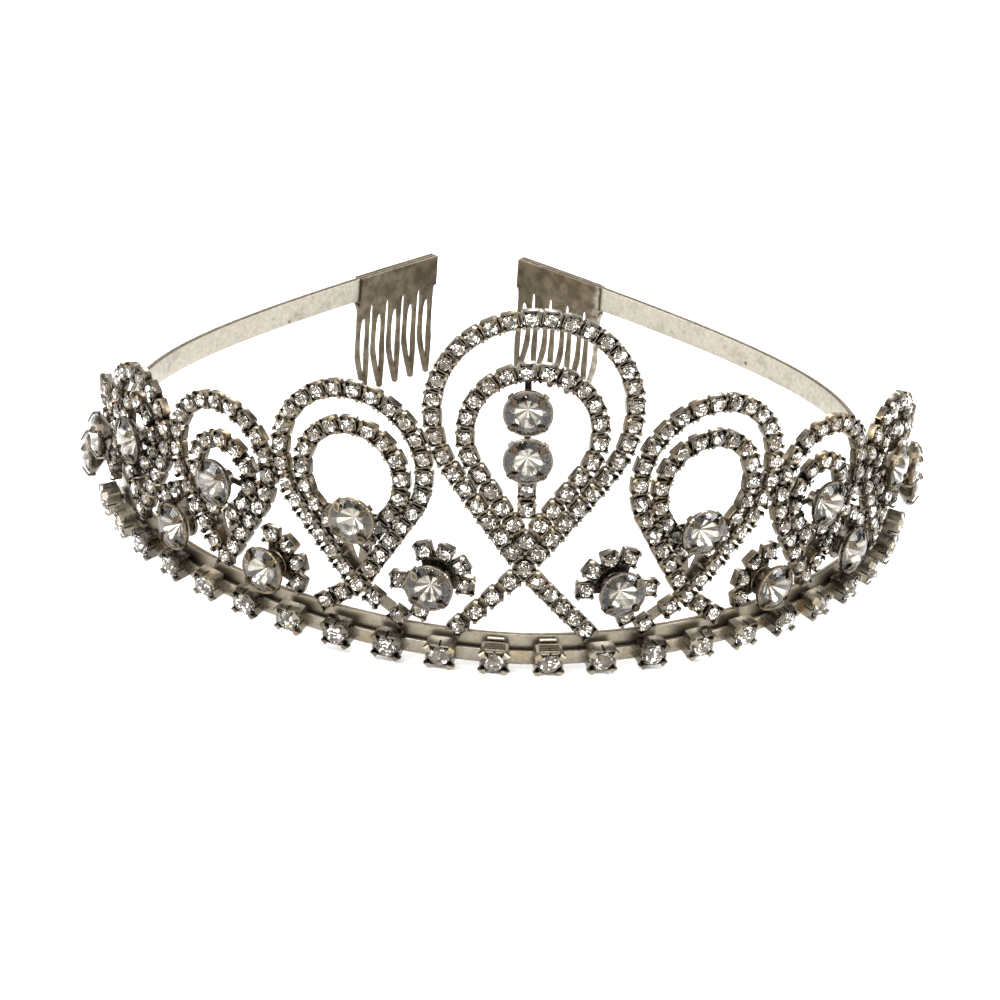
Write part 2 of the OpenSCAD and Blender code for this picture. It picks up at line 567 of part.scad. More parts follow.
module show(name) {
  at_rest() children();
}
show("headband") color(silver) headband();
show("rail") color(silver) rail();
show("rail_stones") color(crystal) rail_stones();
show("centre_motif") color(silver) centre_motif();
show("centre_chain_stones") color(crystal) chips(centre_cups);
show("centre_upper_stone") color(crystal) large_stone(on_drop(drop_stones[0]).x, on_drop(drop_stones[0]).y);
show("centre_lower_stone") color(crystal) large_stone(on_drop(drop_stones[1]).x, on_drop(drop_stones[1]).y);
for (left = [true, false]) {
  s = left ? "left_" : "right_";
  show(str(s, "comb")) color(dark_silver) mirrored(left) comb();
  for (i = [0:3]) {
    show(str(s, motif_names[i], "_motif")) color(silver) mirrored(left) motif(motif_rows[i]);
    show(str(s, motif_names[i], "_stone")) color(crystal) mirrored(left) large_stone(motif_rows[i][SU], motif_rows[i][SV]);
  }
  show(str(s, "inner_chain_stones")) color(crystal) mirrored(left) chips(motif_cups(inner_row));
  for (i = [0:2]) {
    show(str(s, flower_names[i])) color(silver) mirrored(left) flower(flower_rows[i]);
    show(str(s, flower_names[i], "_stone")) color(crystal) mirrored(left) large_stone(flower_rows[i][FU], flower_rows[i][FV]);
  }
  for (i = [0:1])
    show(str(s, stone_ring_names[i], "_chain_stones")) color(crystal) mirrored(left) chips(flower_cups(flower_rows[i]));
  show(str(s, "last_setting")) color(silver) mirrored(left) last_setting();
  show(str(s, "last_stone")) color(crystal) mirrored(left) large_stone(last_u, last_stone[1], last_lift);
}
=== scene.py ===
"""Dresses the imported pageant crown: plated band, cup chains, cut stones, hair combs and a pale studio."""

import math
import random

import bmesh
import bpy
import numpy as np
from bpy.props import FloatProperty, FloatVectorProperty, IntProperty, PointerProperty
from bpy.types import Operator, Panel, PropertyGroup
from mathutils import Matrix, Vector


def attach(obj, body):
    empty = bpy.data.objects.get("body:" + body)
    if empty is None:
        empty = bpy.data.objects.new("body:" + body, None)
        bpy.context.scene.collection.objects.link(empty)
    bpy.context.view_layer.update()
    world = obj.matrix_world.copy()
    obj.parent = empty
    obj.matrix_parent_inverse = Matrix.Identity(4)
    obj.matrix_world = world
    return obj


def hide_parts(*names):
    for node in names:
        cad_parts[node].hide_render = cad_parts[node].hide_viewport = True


bl_info = {
    "name": "Pageant crown",
    "version": (1, 0, 0),
    "blender": (4, 5, 0),
    "location": "3D View > Sidebar > Crown",
    "description": "Dresses the packed crown with its metal, its stones and a pale studio",
    "category": "Object",
}

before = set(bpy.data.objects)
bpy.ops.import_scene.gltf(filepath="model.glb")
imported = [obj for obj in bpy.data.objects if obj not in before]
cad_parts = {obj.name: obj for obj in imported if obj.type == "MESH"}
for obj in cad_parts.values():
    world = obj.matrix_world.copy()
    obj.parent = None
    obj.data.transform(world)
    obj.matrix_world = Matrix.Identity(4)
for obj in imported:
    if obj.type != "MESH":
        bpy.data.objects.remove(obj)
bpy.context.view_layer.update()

SIDES = {"left": -1, "right": 1}
PLAN_STEPS = 40
ARM_STEPS = 26
TAU = 2 * math.pi


def length(label, about, mm, low=0.0):
    """A size in metres that is written here in millimetres."""
    metres = mm / 1000
    return FloatProperty(name=label, description=about, default=metres, min=low, unit="LENGTH", precision=5)


def turn(label, about, degrees):
    """An angle that is written here in degrees."""
    return FloatProperty(name=label, description=about, default=math.radians(degrees), subtype="ANGLE")


def colour(label, about, value):
    """A colour of a finish."""
    return FloatVectorProperty(
        name=label, description=about, default=value, size=3, min=0, max=1, subtype="COLOR"
    )


def number(label, about, value, most=10.0):
    """A plain number from 0 up."""
    return FloatProperty(name=label, description=about, default=value, min=0, max=most)


def count(label, about, value, low, high):
    """A whole number between two limits."""
    return IntProperty(name=label, description=about, default=value, min=low, max=high)


class CrownPlan(PropertyGroup):
    """The band's plan, as in the part's source."""

    half_width: length("Half width", "From the middle to the panel's face at the widest line", 62.3)
    front_depth: length("Front depth", "From the widest line forward to the panel's face", 55.9)
    roundness: number("Roundness", "Roundness of the front half, where 2 is an ellipse", 1.81)
    end_half_gap: length("End half gap", "Half of the gap between the band's two ends", 9.3)
    arm_depth: length("Arm depth", "From the widest line back to the band's ends", 90.7)
    arm_front_pull: length("Front pull", "Pull of the arm's curve at its front end", 34.7)
    arm_back_run: length("Back run", "Sideways run of the arm's curve at its back end", 59.7)
    arm_back_rise: length("Back rise", "Forward run of the arm's curve at its back end", 50.2)
    flare: turn("Flare", "How far the panel leans outwards at its two ends", 6)
    drop_lean: turn("Drop lean", "How far the centre drop leans to the left", 3)


class CrownBand(PropertyGroup):
    """The headband's strip."""

    height: length("Height", "Height of the headband's strip", 4.4)
    thick: length("Thickness", "Thickness of the headband's strip", 0.8)
    low: length("Lower edge", "Lower edge of the strip above the rail cups' lowest edge", 0.8)
    gap: length("Seat gap", "Clearance between soldered pieces", 0.1)
    edge_round: length("Edge rounding", "Rounding of the strip's long edges", 0.22)


class CrownRail(PropertyGroup):
    """The rail in front of the headband and its cups."""

    height: length("Strip height", "Height of the rail's strip", 2.2)
    thick: length("Strip thickness", "Thickness of the rail's strip", 0.6)
    low: length("Lower edge", "Lower edge of the rail's strip", 0.8)
    gap: length("Gap", "Gap between the headband and the rail", 0.5)
    pitch: length("Cup spacing", "Spacing of the rail's cups", 8)
    cups: count("Cups", "Cups on each half of the rail", 11, 1, 11)
    tilt: turn("Tilt", "How far the rail's cups face down", 12)
    end: length("End", "Rail left past the last cup", 3)
    cup_width: length("Cup width", "Width of a rail cup", 3.9)
    broad: number("Broad", "Width of a rail cup as a share of its height", 1.1)
    cup_depth: length("Cup depth", "Depth of a rail cup, prongs included", 3)
    cup_wall: length("Cup wall", "Thickness of a rail cup's folded wall", 0.24)
    prong: length("Prong height", "Height of a rail cup's corner prongs", 0.9)
    slit: length("Slit", "Width of the slit in the middle of a cup's side", 0.26)
    tab_width: length("Tab width", "Width of a rail cup's solder tab", 2.6)
    tab_drop: length("Tall tab drop", "Top of a tall tab below the headband's top edge", 0.4)
    short_tab_drop: length("Short tab drop", "Top of a short tab below the headband's top edge", 1.6)
    sink: length("Cup sink", "How far a rail cup sits into the rail's strip", 0.25)


class CrownChains(PropertyGroup):
    """The cup chains of the motifs and flowers."""

    width: length("Cup width", "Width of a chain cup", 2.7)
    depth: length("Cup depth", "Depth of a chain cup, prongs included", 2)
    wall: length("Cup wall", "Thickness of a chain cup's wall", 0.15)
    rim: length("Rim", "Height of a chain cup's wall between its prongs", 1.32)
    corner: length("Corner", "Rounding of a chain cup's corners", 0.34)
    prong_width: length("Prong width", "Width of a corner prong where it leaves the wall", 0.62)
    pitch: length("Cup spacing", "Spacing of the cups along a chain", 3.05)
    link_width: length("Link width", "Width of the bar that links two cups", 1.9)
    stone: length("Stone radius", "Radius of a small stone", 1.2)
    stone_crown: length("Stone crown", "Height of a small stone's crown", 0.55)
    stone_back: length("Stone back", "Depth of a small stone's pointed back", 0.75)
    sway: turn("Sway", "How far hand-set cups turn away from their line", 2.6)


class CrownStones(PropertyGroup):
    """The large round stones and their settings."""

    diameter: length("Diameter", "Diameter of a large round stone", 6.8)
    girdle: length("Girdle", "Height of the girdle", 0.2)
    crown: length("Crown", "Height of the crown facets", 0.9)
    pavilion: length("Pavilion", "Depth of the pointed back", 2.2)
    table: length("Table", "Diameter of the table", 3.9)
    proud: length("Proud", "Girdle in front of the panel's face", 1.2)
    stud: length("Stud", "Radius of the stud behind the setting", 1.4)
    collar: length("Collar", "Thickness of the setting's collar round the girdle", 0.26)
    prong_long: length("Prong length", "Length of a prong's folded diamond", 1.6)
    prong_wide: length("Prong width", "Width of a prong's folded diamond", 1.25)
    plate_thick: length("Plate", "Thickness of the plates behind the settings", 0.5)
    plate_rim: length("Plate rim", "Rim of a flower's plate round the stud", 0.9)
    tie_thick: length("Tie bar", "Thickness of the bar that ties a setting to its chains", 0.36)
    spoke: length("Spoke", "Width of the spoke behind each cup of a flower", 2.1)
    flower_radius: length("Flower radius", "Radius of the ring of cups round a flower's stone", 5.1)
    last_lift: length("Last setting", "How far the last setting stands out past the others", 1.2)


class CrownCombs(PropertyGroup):
    """The two hair combs."""

    long: length("Length", "Length of a comb along the band", 18)
    wall: length("Wall", "Wall of the channel round the strip", 0.4)
    spine: length("Spine", "Spine of the comb below the headband", 1)
    teeth: count("Teeth", "Teeth on a comb", 5, 3, 5)
    thick: length("Tooth thickness", "Thickness of a tooth", 0.8)
    width: length("Tooth width", "Width over both wires of a tooth", 3.1)
    wire: length("Wire", "Width of one wire of a tooth", 0.85)
    upper: length("Upper part", "Length of a tooth's straight upper part", 9.4)
    lower: length("Lower part", "Length of a tooth's turned-in lower part", 6.6)
    trunk: length("Trunk", "Solid top of a tooth above its eye", 2.6)
    bend: turn("Turn", "How far the lower part turns in towards the head", 9)
    tip: length("Tip", "Diameter of the rounded tip", 1.2)


class CrownFinishes(PropertyGroup):
    """Colours of the crown's finishes."""

    silver: colour("Silver", "Clean plating of the band", (0.35, 0.328, 0.278))
    cup_silver: colour("Cup silver", "Plating of the cups", (0.135, 0.118, 0.096))
    brass: colour("Brass", "Worn plating that shows the brass", (0.175, 0.14, 0.09))
    # The stain colour is tarnish in the metals' pits, and also the base of the dark metal that paints shade
    # on top edges, ribs and sunk middles
    stain: colour("Stain", "Dark tarnish in pits and seams", (0.075, 0.055, 0.035))
    comb: colour("Comb metal", "Worn metal of the combs", (0.125, 0.103, 0.073))
    # The foil colours are painted reflections: each facet of the foil takes a tone between the dark and the
    # light one
    foil_light: colour("Light foil", "Light facets behind the stones", (0.2, 0.17, 0.128))
    foil_dark: colour("Dark foil", "Darkest facets behind the stones", (0.02, 0.016, 0.012))
    large_foil: colour("Large foil", "Light facets behind the large stones", (0.5, 0.475, 0.41))
    glass: colour("Glass", "Tint of the stones' glass", (0.97, 0.965, 0.96))
    wear: number("Wear", "Share of the cups with brass or stain showing", 0.36, 1)


class CrownStudio(PropertyGroup):
    """Camera, floor and lights."""

    yaw: turn("Camera turn", "Camera's angle round the crown", -4.4111)
    elevation: turn("Camera height", "Camera's angle above the floor", 18.9005)
    roll: turn("Camera roll", "Camera's roll", 3.4369)
    distance: length("Camera distance", "From the camera to its target", 700.15)
    lens_angle: turn("View angle", "Angle of view across the picture", 13.2324)
    target: FloatVectorProperty(
        name="Target",
        description="Point that the camera looks at",
        default=(0.000829, 0.000998, 0.003013),
        subtype="TRANSLATION",
    )
    floor: colour("Floor", "Colour of the floor", (0.95, 0.95, 0.948))
    sky: number("Sky", "Strength of the soft light from all round", 1.0)


GROUPS = {
    "crown_plan": CrownPlan,
    "crown_band": CrownBand,
    "crown_rail": CrownRail,
    "crown_chains": CrownChains,
    "crown_stones": CrownStones,
    "crown_combs": CrownCombs,
    "crown_finishes": CrownFinishes,
    "crown_studio": CrownStudio,
}


class Millimetres:
    """A property group's lengths in millimetres, its colours as tuples and the rest as it is."""

    def __init__(self, group):
        for key, prop in group.bl_rna.properties.items():
            if key in ("rna_type", "name"):
                continue
            value = getattr(group, key)
            if getattr(prop, "is_array", False):
                value = tuple(value)
            elif getattr(prop, "unit", "NONE") == "LENGTH":
                value = round(value * 1000, 4)
            setattr(self, key, value)


def sizes(key):
    """The scene's property group of that name, in millimetres."""
    return Millimetres(getattr(bpy.context.scene, "crown_" + key))


# Motifs: centre and radius of the outer loop and its tip, the same of the inner loop, the large stone
# and the ends of the two legs, all on the panel laid out flat as (u, v)
MOTIFS = {
    "centre": {
        "loop": ((-0.6, 41.2), 15.2, (-0.5, 16.6)),
        "inner": ((-0.6, 38.1), 10.1, (-0.6, 21)),
        "feet": ((-9.8, 6.4), (9.6, 6.4)),
    },
    "inner": {
        "loop": ((28.1, 29.3), 11.8, (25.6, 10.2)),
        "inner": ((27.8, 27.4), 8.1, (26.6, 15.2)),
        "stone": (26.4, 21.4),
        "feet": ((18.9, 6.5), (30.8, 6.3)),
    },
    "middle": {
        "loop": ((51.4, 22.7), 9.5, (49.6, 6.8)),
        "inner": ((50.8, 20.7), 5.5, (50.2, 12.8)),
        "stone": (50.6, 20),
    },
    "outer": {
        "loop": ((71.7, 21), 7.9, (70.9, 6)),
        "inner": ((71.7, 19.8), 4.5, (71.3, 12.6)),
        "stone": (71.3, 18.6),
    },
    "end": {"loop": ((87, 14.4), 5.8, (86.2, 5.6)), "stone": (86.4, 12.2)},
}
# Flowers: centre, and the angles of the cups round it
FLOWERS = {
    "inner": ((14.1, 13), (-6, 72, 108, 143.5, 179, 288)),
    "middle": ((40.7, 8.9), (88, 124, 160, 195)),
    "outer": ((59.2, 9.2), (-31, 3, 37, 70)),
}
# Lowest cup of the centre drop, then its large stones and cups as distances along it
DROP_FOOT = (-0.8, 26.3)
DROP_STONES = (16.4, 8.8)
DROP_STEM = (3.1, 0)
LAST_STONE = (92, 6.4)
TIP_LIFT = 0.6
STONE_GAP = 0.1

# The CAD prongs of a large setting, which reach farthest forward: reach over the girdle, gap under
# the prong, nose, thickness at the tip and half width
PRONG_REACH, PRONG_SEAT, PRONG_NOSE, PRONG_TIP_THICK, PRONG_HALF = 0.8, 0.12, 0.12, 0.36, 0.4
# The crown's pitch at rest is found from a first guess, in degrees, in so many rounds
FIRST_PITCH, PITCH_ROUNDS = 6, 6


class Layout:
    """The band's plan, the layers outwards from the panel's face and the crown's place at rest."""

    def __init__(self):
        plan, band, rail, combs = sizes("plan"), sizes("band"), sizes("rail"), sizes("combs")
        chains, stones = sizes("chains"), sizes("stones")
        points = []
        for i in range(PLAN_STEPS + 1):
            t = math.pi / 2 * i / PLAN_STEPS
            across = max(math.sin(t), 0.0) ** (2 / plan.roundness)
            ahead = max(math.cos(t), 0.0) ** (2 / plan.roundness)
            points.append((plan.half_width * across, -plan.front_depth * ahead))
        pulls = [
            (plan.half_width, 0),
            (plan.half_width, plan.arm_front_pull),
            (plan.end_half_gap + plan.arm_back_run, plan.arm_depth - plan.arm_back_rise),
            (plan.end_half_gap, plan.arm_depth),
        ]
        for i in range(1, ARM_STEPS + 1):
            t = i / ARM_STEPS
            weights = ((1 - t) ** 3, 3 * t * (1 - t) ** 2, 3 * t * t * (1 - t), t**3)
            points.append(tuple(sum(w * p[a] for w, p in zip(weights, pulls)) for a in (0, 1)))
        self.x, self.y = np.array(points).T
        self.runs = np.concatenate([[0], np.cumsum(np.hypot(np.diff(self.x), np.diff(self.y)))])
        self.run = float(self.runs[-1])
        self.low, self.flare, self.drop_lean = band.low, plan.flare, plan.drop_lean
        self.cup_back = -chains.depth
        self.band_front = self.cup_back - band.gap
        self.band_back = self.band_front - band.thick
        self.band_top = band.low + band.height
        self.rail_back = self.band_front + rail.gap
        self.rail_front = self.rail_back + rail.thick
        self.rail_off = self.rail_front - rail.sink
        down, out = math.sin(rail.tilt), math.cos(rail.tilt)
        self.rail_v = rail.cup_depth * down + rail.cup_width / 2 * out
        self.rail_run = (rail.cups - 0.5) * rail.pitch + rail.end
        self.comb_from = self.run - combs.long
        self.comb_low = band.low - band.gap - combs.spine
        self.tooth_off = (self.band_front + self.band_back) / 2
        tip_in = combs.lower * math.sin(combs.bend)
        tip_y = self.place(self.comb_from + combs.width / 2, 0, self.tooth_off - tip_in)[1]
        tip_v = self.comb_low - combs.upper - combs.lower * math.cos(combs.bend)
        front_out = self.rail_off + rail.cup_depth * out - rail.cup_width / 2 * down
        front_y = self.place(rail.pitch / 2, 0, front_out)[1]
        pitch = math.radians(FIRST_PITCH)
        for _ in range(PITCH_ROUNDS):
            pitch = math.atan((combs.tip / 2 / math.cos(pitch) - tip_v) / (tip_y - front_y))
        self.pitch = pitch
        slope = stones.crown / (stones.diameter / 2 - stones.table / 2)
        prong_top = stones.proud + stones.girdle + PRONG_SEAT + PRONG_REACH * slope + PRONG_TIP_THICK
        prong_out = stones.diameter / 2 - PRONG_REACH + PRONG_NOSE + PRONG_HALF
        prong_high = self.on_drop(DROP_STONES[0])[1] + prong_out / math.sqrt(2)
        rear_y = self.place(self.run, 0, self.tooth_off + combs.thick / 2)[1]
        ahead = self.leaned(-plan.front_depth - prong_top, prong_high)
        behind = self.leaned(rear_y, self.comb_low - combs.upper)
        self.shift = np.array([0.0, -(ahead + behind) / 2, -front_y * math.sin(pitch)])

    def leaned(self, y, v):
        """Depth of a point once the crown leans forward at rest."""
        return y * math.cos(self.pitch) - v * math.sin(self.pitch)

    def plan_xy(self, s):
        """Point of the plan at a run from the middle."""
        x, y = (float(np.interp(abs(s), self.runs, line)) for line in (self.x, self.y))
        return math.copysign(x, s), y

    def along(self, s):
        """Direction of the plan at a run from the middle."""
        m = min(s, self.run - 0.6)
        a, b = self.plan_xy(m - 0.5), self.plan_xy(m + 0.5)
        d = math.dist(a, b)
        return (b[0] - a[0]) / d, (b[1] - a[1]) / d

    def place(self, u, v, off):
        """Point of the bent panel: run, height and distance out from the face."""
        (x, y), t = self.plan_xy(u), self.along(u)
        return np.array([x + off * t[1], y - off * t[0], v])

    def flare_at(self, u):
        """Lean of the panel at a run from the middle."""
        return self.flare * min(abs(u) / LAST_STONE[0], 1.0) ** 3

    def panel_place(self, u, v, off):
        """Point of the panel, which leans outwards towards its ends."""
        t, f = self.along(u), self.flare_at(u)
        up = np.array([t[1] * math.sin(f), -t[0] * math.sin(f), math.cos(f)])
        out = np.array([t[1] * math.cos(f), -t[0] * math.cos(f), -math.sin(f)])
        return self.place(u, self.low, 0) + (v - self.low) * up + off * out

    def on_drop(self, q):
        """Point (u, v) of the leaning centre drop at a distance from its foot."""
        u, v = DROP_FOOT
        return u - q * math.sin(self.drop_lean), v + q * math.cos(self.drop_lean)

    def panel_seat(self, u, v, off=0.0, spin=0.0, sway=0.0, nod=0.0):
        """Local frame on the leaning panel."""
        return self.seat(u, v, off, spin, self.flare_at(u), sway, nod)[0], self.panel_place(u, v, off)

    def seat(self, u, v, off=0.0, spin=0.0, tilt=0.0, sway=0.0, nod=0.0):
        """Local frame on the band as (axes in columns, origin): X along the band, Z outwards."""
        t = self.along(u)
        n = (t[1], -t[0])
        ax = np.array([t[0], t[1], 0])
        az = np.array([n[0] * math.cos(tilt), n[1] * math.cos(tilt), -math.sin(tilt)])
        ay = np.array([n[0] * math.sin(tilt), n[1] * math.sin(tilt), math.cos(tilt)])
        ex = math.cos(spin) * ax + math.sin(spin) * ay
        ey = math.cos(spin) * ay - math.sin(spin) * ax
        if sway or nod:
            az = az + sway * ex + nod * ey
            az /= np.linalg.norm(az)
            ex = ex - az * (ex @ az)
            ex /= np.linalg.norm(ex)
            ey = np.cross(az, ex)
        return np.column_stack([ex, ey, az]), self.place(u, v, off)

    def at_rest(self, points):
        """Panel points in millimetres to the crown's place at rest in metres."""
        c, s = math.cos(self.pitch), math.sin(self.pitch)
        x, y, z = points.T
        return (np.column_stack([x, y * c - z * s, y * s + z * c]) + self.shift) / 1000


def tear_cups(loop, chains):
    """Cups of a loop: a circle and its two tangents to a tip, as (u, v, angle)."""
    (cu, cv), r, (tu, tv) = loop
    d = math.dist((cu, cv), (tu, tv))
    a = math.atan2(cv - tv, cu - tu)
    h = math.asin(r / d)
    straight = math.sqrt(d * d - r * r)
    total = 2 * straight + r * (math.pi + 2 * h)
    first = (chains.width / 2 * (math.sin(h) + math.cos(h)) + STONE_GAP) / math.sin(h)
    gaps = math.floor((total - 2 * first) / chains.pitch + 0.35)
    cups = []
    for i in range(gaps + 1):
        q = first + (total - 2 * first) * i / gaps
        if q < straight:
            cups.append((tu + q * math.cos(a - h), tv + q * math.sin(a - h), a - h))
        elif q < total - straight:
            th = a - h - math.pi / 2 + (q - straight) / r
            cups.append((cu + r * math.cos(th), cv + r * math.sin(th), th + math.pi / 2))
        else:
            back = total - q
            cups.append((tu + back * math.cos(a + h), tv + back * math.sin(a + h), a + h + math.pi))
    return cups


def leg_cups(tip, foot, chains):
    """Cups of a leg from below the tip to its end."""
    run = math.dist(tip, foot)
    gaps = math.floor((run - chains.pitch) / chains.pitch + 0.4)
    across, up = foot[0] - tip[0], foot[1] - tip[1]
    cups = []
    for i in range(gaps + 1):
        q = chains.pitch + (run - chains.pitch) * i / max(gaps, 1)
        cups.append((tip[0] + across * q / run, tip[1] + up * q / run, math.atan2(up, across)))
    return cups


def motif_runs(name, chains):
    """Chains of a motif as lists of cups, and the pairs of cups that a link bar joins besides."""
    row = MOTIFS[name]
    tip = row["loop"][2]
    outer = tear_cups(row["loop"], chains)
    runs, joins = [outer], []
    if "feet" in row:
        tip_cup = (tip[0], tip[1], math.pi / 4)
        legs = [leg_cups(tip, foot, chains) for foot in row["feet"]]
        runs.append(legs[0][::-1] + [tip_cup] + legs[1])
    else:
        tip_cup = (tip[0], tip[1] + TIP_LIFT, math.pi / 2)
        runs.append([tip_cup])
    if "inner" in row:
        runs.append(tear_cups(row["inner"], chains))
        joins += [(runs[-1][0], tip_cup), (runs[-1][-1], tip_cup)]
    joins += [(outer[0], tip_cup), (outer[-1], tip_cup)]
    return runs, joins


# Finishes of a piece's faces, in the order of its material slots. The third slot is painted shade, not a
# finish: dark metal put on the headband's top edge, the rail's ribs and the prongs' sunk middles
METAL, BRASS, PAINTED_SHADE, FOIL, GLASS, CLEAR_FOIL = range(6)
# Steps in each rounded corner of a strip, and the points round its outline
ROUND_STEPS = 3
STRIP_POINTS = 4 * (ROUND_STEPS + 1)
# Steps along the headband, the rail's strip and a comb's walls
BAND_STEPS, RAIL_STEPS, COMB_STEPS = 420, 260, 40
# Faces that meet at more than this angle, in degrees, have a sharp edge
SHARP = 32


def rounded_rect(wide, high, radius):
    """Outline of a rounded rectangle about the origin, as (across, up)."""
    outline = []
    for k, (sx, sy) in enumerate(((1, 1), (-1, 1), (-1, -1), (1, -1))):
        cx, cy = sx * (wide / 2 - radius), sy * (high / 2 - radius)
        for i in range(ROUND_STEPS + 1):
            a = math.pi / 2 * (k + i / ROUND_STEPS)
            outline.append((cx + radius * math.cos(a), cy + radius * math.sin(a)))
    return outline


def cut_rect(a, b, c, d, edge):
    """Outline of a rectangle from (a, c) to (b, d) with its corners cut."""
    return [
        (a + edge, c), (b - edge, c), (b, c + edge), (b, d - edge),
        (b - edge, d), (a + edge, d), (a, d - edge), (a, c + edge),
    ]


def spun(points, angle):
    """Local points turned about their Z axis."""
    c, s = math.cos(angle), math.sin(angle)
    return [(x * c - y * s, x * s + y * c, z) for x, y, z in points]


class Shell:
    """Gathers points, faces and finishes of one piece on the flat panel, in millimetres.

    It also holds what shapes the piece: its layout, its side, its random draws and its sizes.
    """

    def __init__(self, side=1, seed=0):
        self.layout, self.side, self.draw = Layout(), side, random.Random(seed)
        self.chains, self.stones, self.wear = sizes("chains"), sizes("stones"), sizes("finishes").wear
        self.points, self.faces, self.finish, self.smooth, self.tone = [], [], [], [], []
        self.total = 0

    def stray(self, most):
        """A random value of at most that size either way."""
        return self.draw.uniform(-most, most)

    def plating(self):
        """Finish of one cup: clean plating, or brass showing."""
        return BRASS if self.draw.random() < self.wear else METAL

    def add(self, points, faces, finish, smooth, seat, tone=0.5):
        """Adds faces in a local frame; finish and tone are one value, or one for each face."""
        points = np.asarray(points, float)
        if seat is not None:
            points = points @ seat[0].T + seat[1]
        if self.side < 0:
            points = points * np.array([-1.0, 1.0, 1.0])
        self.faces += [[self.total + i for i in face] for face in faces]
        self.points.append(points)
        self.total += len(points)
        self.finish += [finish] * len(faces) if isinstance(finish, int) else finish
        self.smooth += [smooth] * len(faces)
        self.tone += [tone] * len(faces) if isinstance(tone, float) else tone

    def loft(self, rings, finish=METAL, seat=None, smooth=True):
        """Skin through rings of as many points each, with flat ends."""
        rings = np.asarray(rings, float)
        rows, n = rings.shape[:2]
        faces = []
        for a in range(0, (rows - 1) * n, n):
            b = a + n
            faces += [(a + i, a + (i + 1) % n, b + (i + 1) % n, b + i) for i in range(n)]
        faces += [tuple(range(n - 1, -1, -1)), tuple(range((rows - 1) * n, rows * n))]
        self.add(rings.reshape(-1, 3), faces, finish, smooth, seat)

    def bar(self, seat, low, high, edge, finish=METAL):
        """Block with softened edges between two corners."""
        (x0, y0, z0), (x1, y1, z1) = low, high
        rings = []
        for z, inset in ((z0, edge), (z0 + edge, 0), (z1 - edge, 0), (z1, edge)):
            outline = cut_rect(x0 + inset, x1 - inset, y0 + inset, y1 - inset, edge)
            rings.append([(x, y, z) for x, y in outline])
        self.loft(rings, finish, seat)

    def lathe(self, seat, profile, sides, finish=METAL):
        """Round body from its profile as (radius, height)."""
        turns = [TAU * i / sides for i in range(sides)]
        rings = [[(r * math.cos(a), r * math.sin(a), z) for a in turns] for r, z in profile]
        self.loft(rings, finish, seat)

    def strip(self, run, depth, height, radius, steps, finish=METAL):
        """Strip along the plan between two runs, two depths and two heights, with rounded edges."""
        outline = rounded_rect(depth[1] - depth[0], height[1] - height[0], radius)
        v, off = sum(height) / 2, sum(depth) / 2
        rings = []
        for i in range(steps + 1):
            u = run[0] + (run[1] - run[0]) * i / steps
            rings.append([self.layout.place(u, v + up, off + out) for out, up in outline])
        self.loft(rings, finish)

    def finish_piece(self, name, nodes, slot="silver_plate", materials=None):
        """Makes the object, turns its faces outwards, hides the CAD parts that it stands for and hangs it
        under the root.
        """
        if not self.faces:
            raise RuntimeError(f"{name} has no faces")
        points = self.layout.at_rest(np.concatenate(self.points))
        mesh = bpy.data.meshes.new(name)
        mesh.from_pydata(points.tolist(), [], self.faces)
        mesh.polygons.foreach_set("material_index", self.finish)
        mesh.polygons.foreach_set("use_smooth", self.smooth)
        tones = mesh.color_attributes.new("tone", "FLOAT_COLOR", "CORNER")
        corners = np.array([len(f) for f in self.faces])
        grey = np.repeat(np.array(self.tone, np.float32), corners)
        tones.data.foreach_set("color", np.column_stack([grey, grey, grey, np.ones_like(grey)]).ravel())
        turned = bmesh.new()
        turned.from_mesh(mesh)
        bmesh.ops.recalc_face_normals(turned, faces=turned.faces)
        turned.to_mesh(mesh)
        turned.free()
        mesh.set_sharp_from_angle(angle=math.radians(SHARP))
        for material in materials or crown_materials():
            mesh.materials.append(material)
        piece = bpy.data.objects.new(name, mesh)
        bpy.context.scene.collection.objects.link(piece)
        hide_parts(*nodes)
        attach(piece, "root")


# A cut stone's main facets, their place between girdle and table, and how far they stand proud
MAINS, MAIN_AT, MAIN_PROUD = 8, 0.36, 1.02
# Tone of the girdle, lowest tone of a large stone's back facets and what every other one has more; the back
# facets' tones are painted reflections in the foil
GIRDLE_TONE, BACK_TONE, BACK_STEP = 0.3, 0.25, 0.45
# A small stone's table as a share of its radius
SMALL_TABLE = 0.56


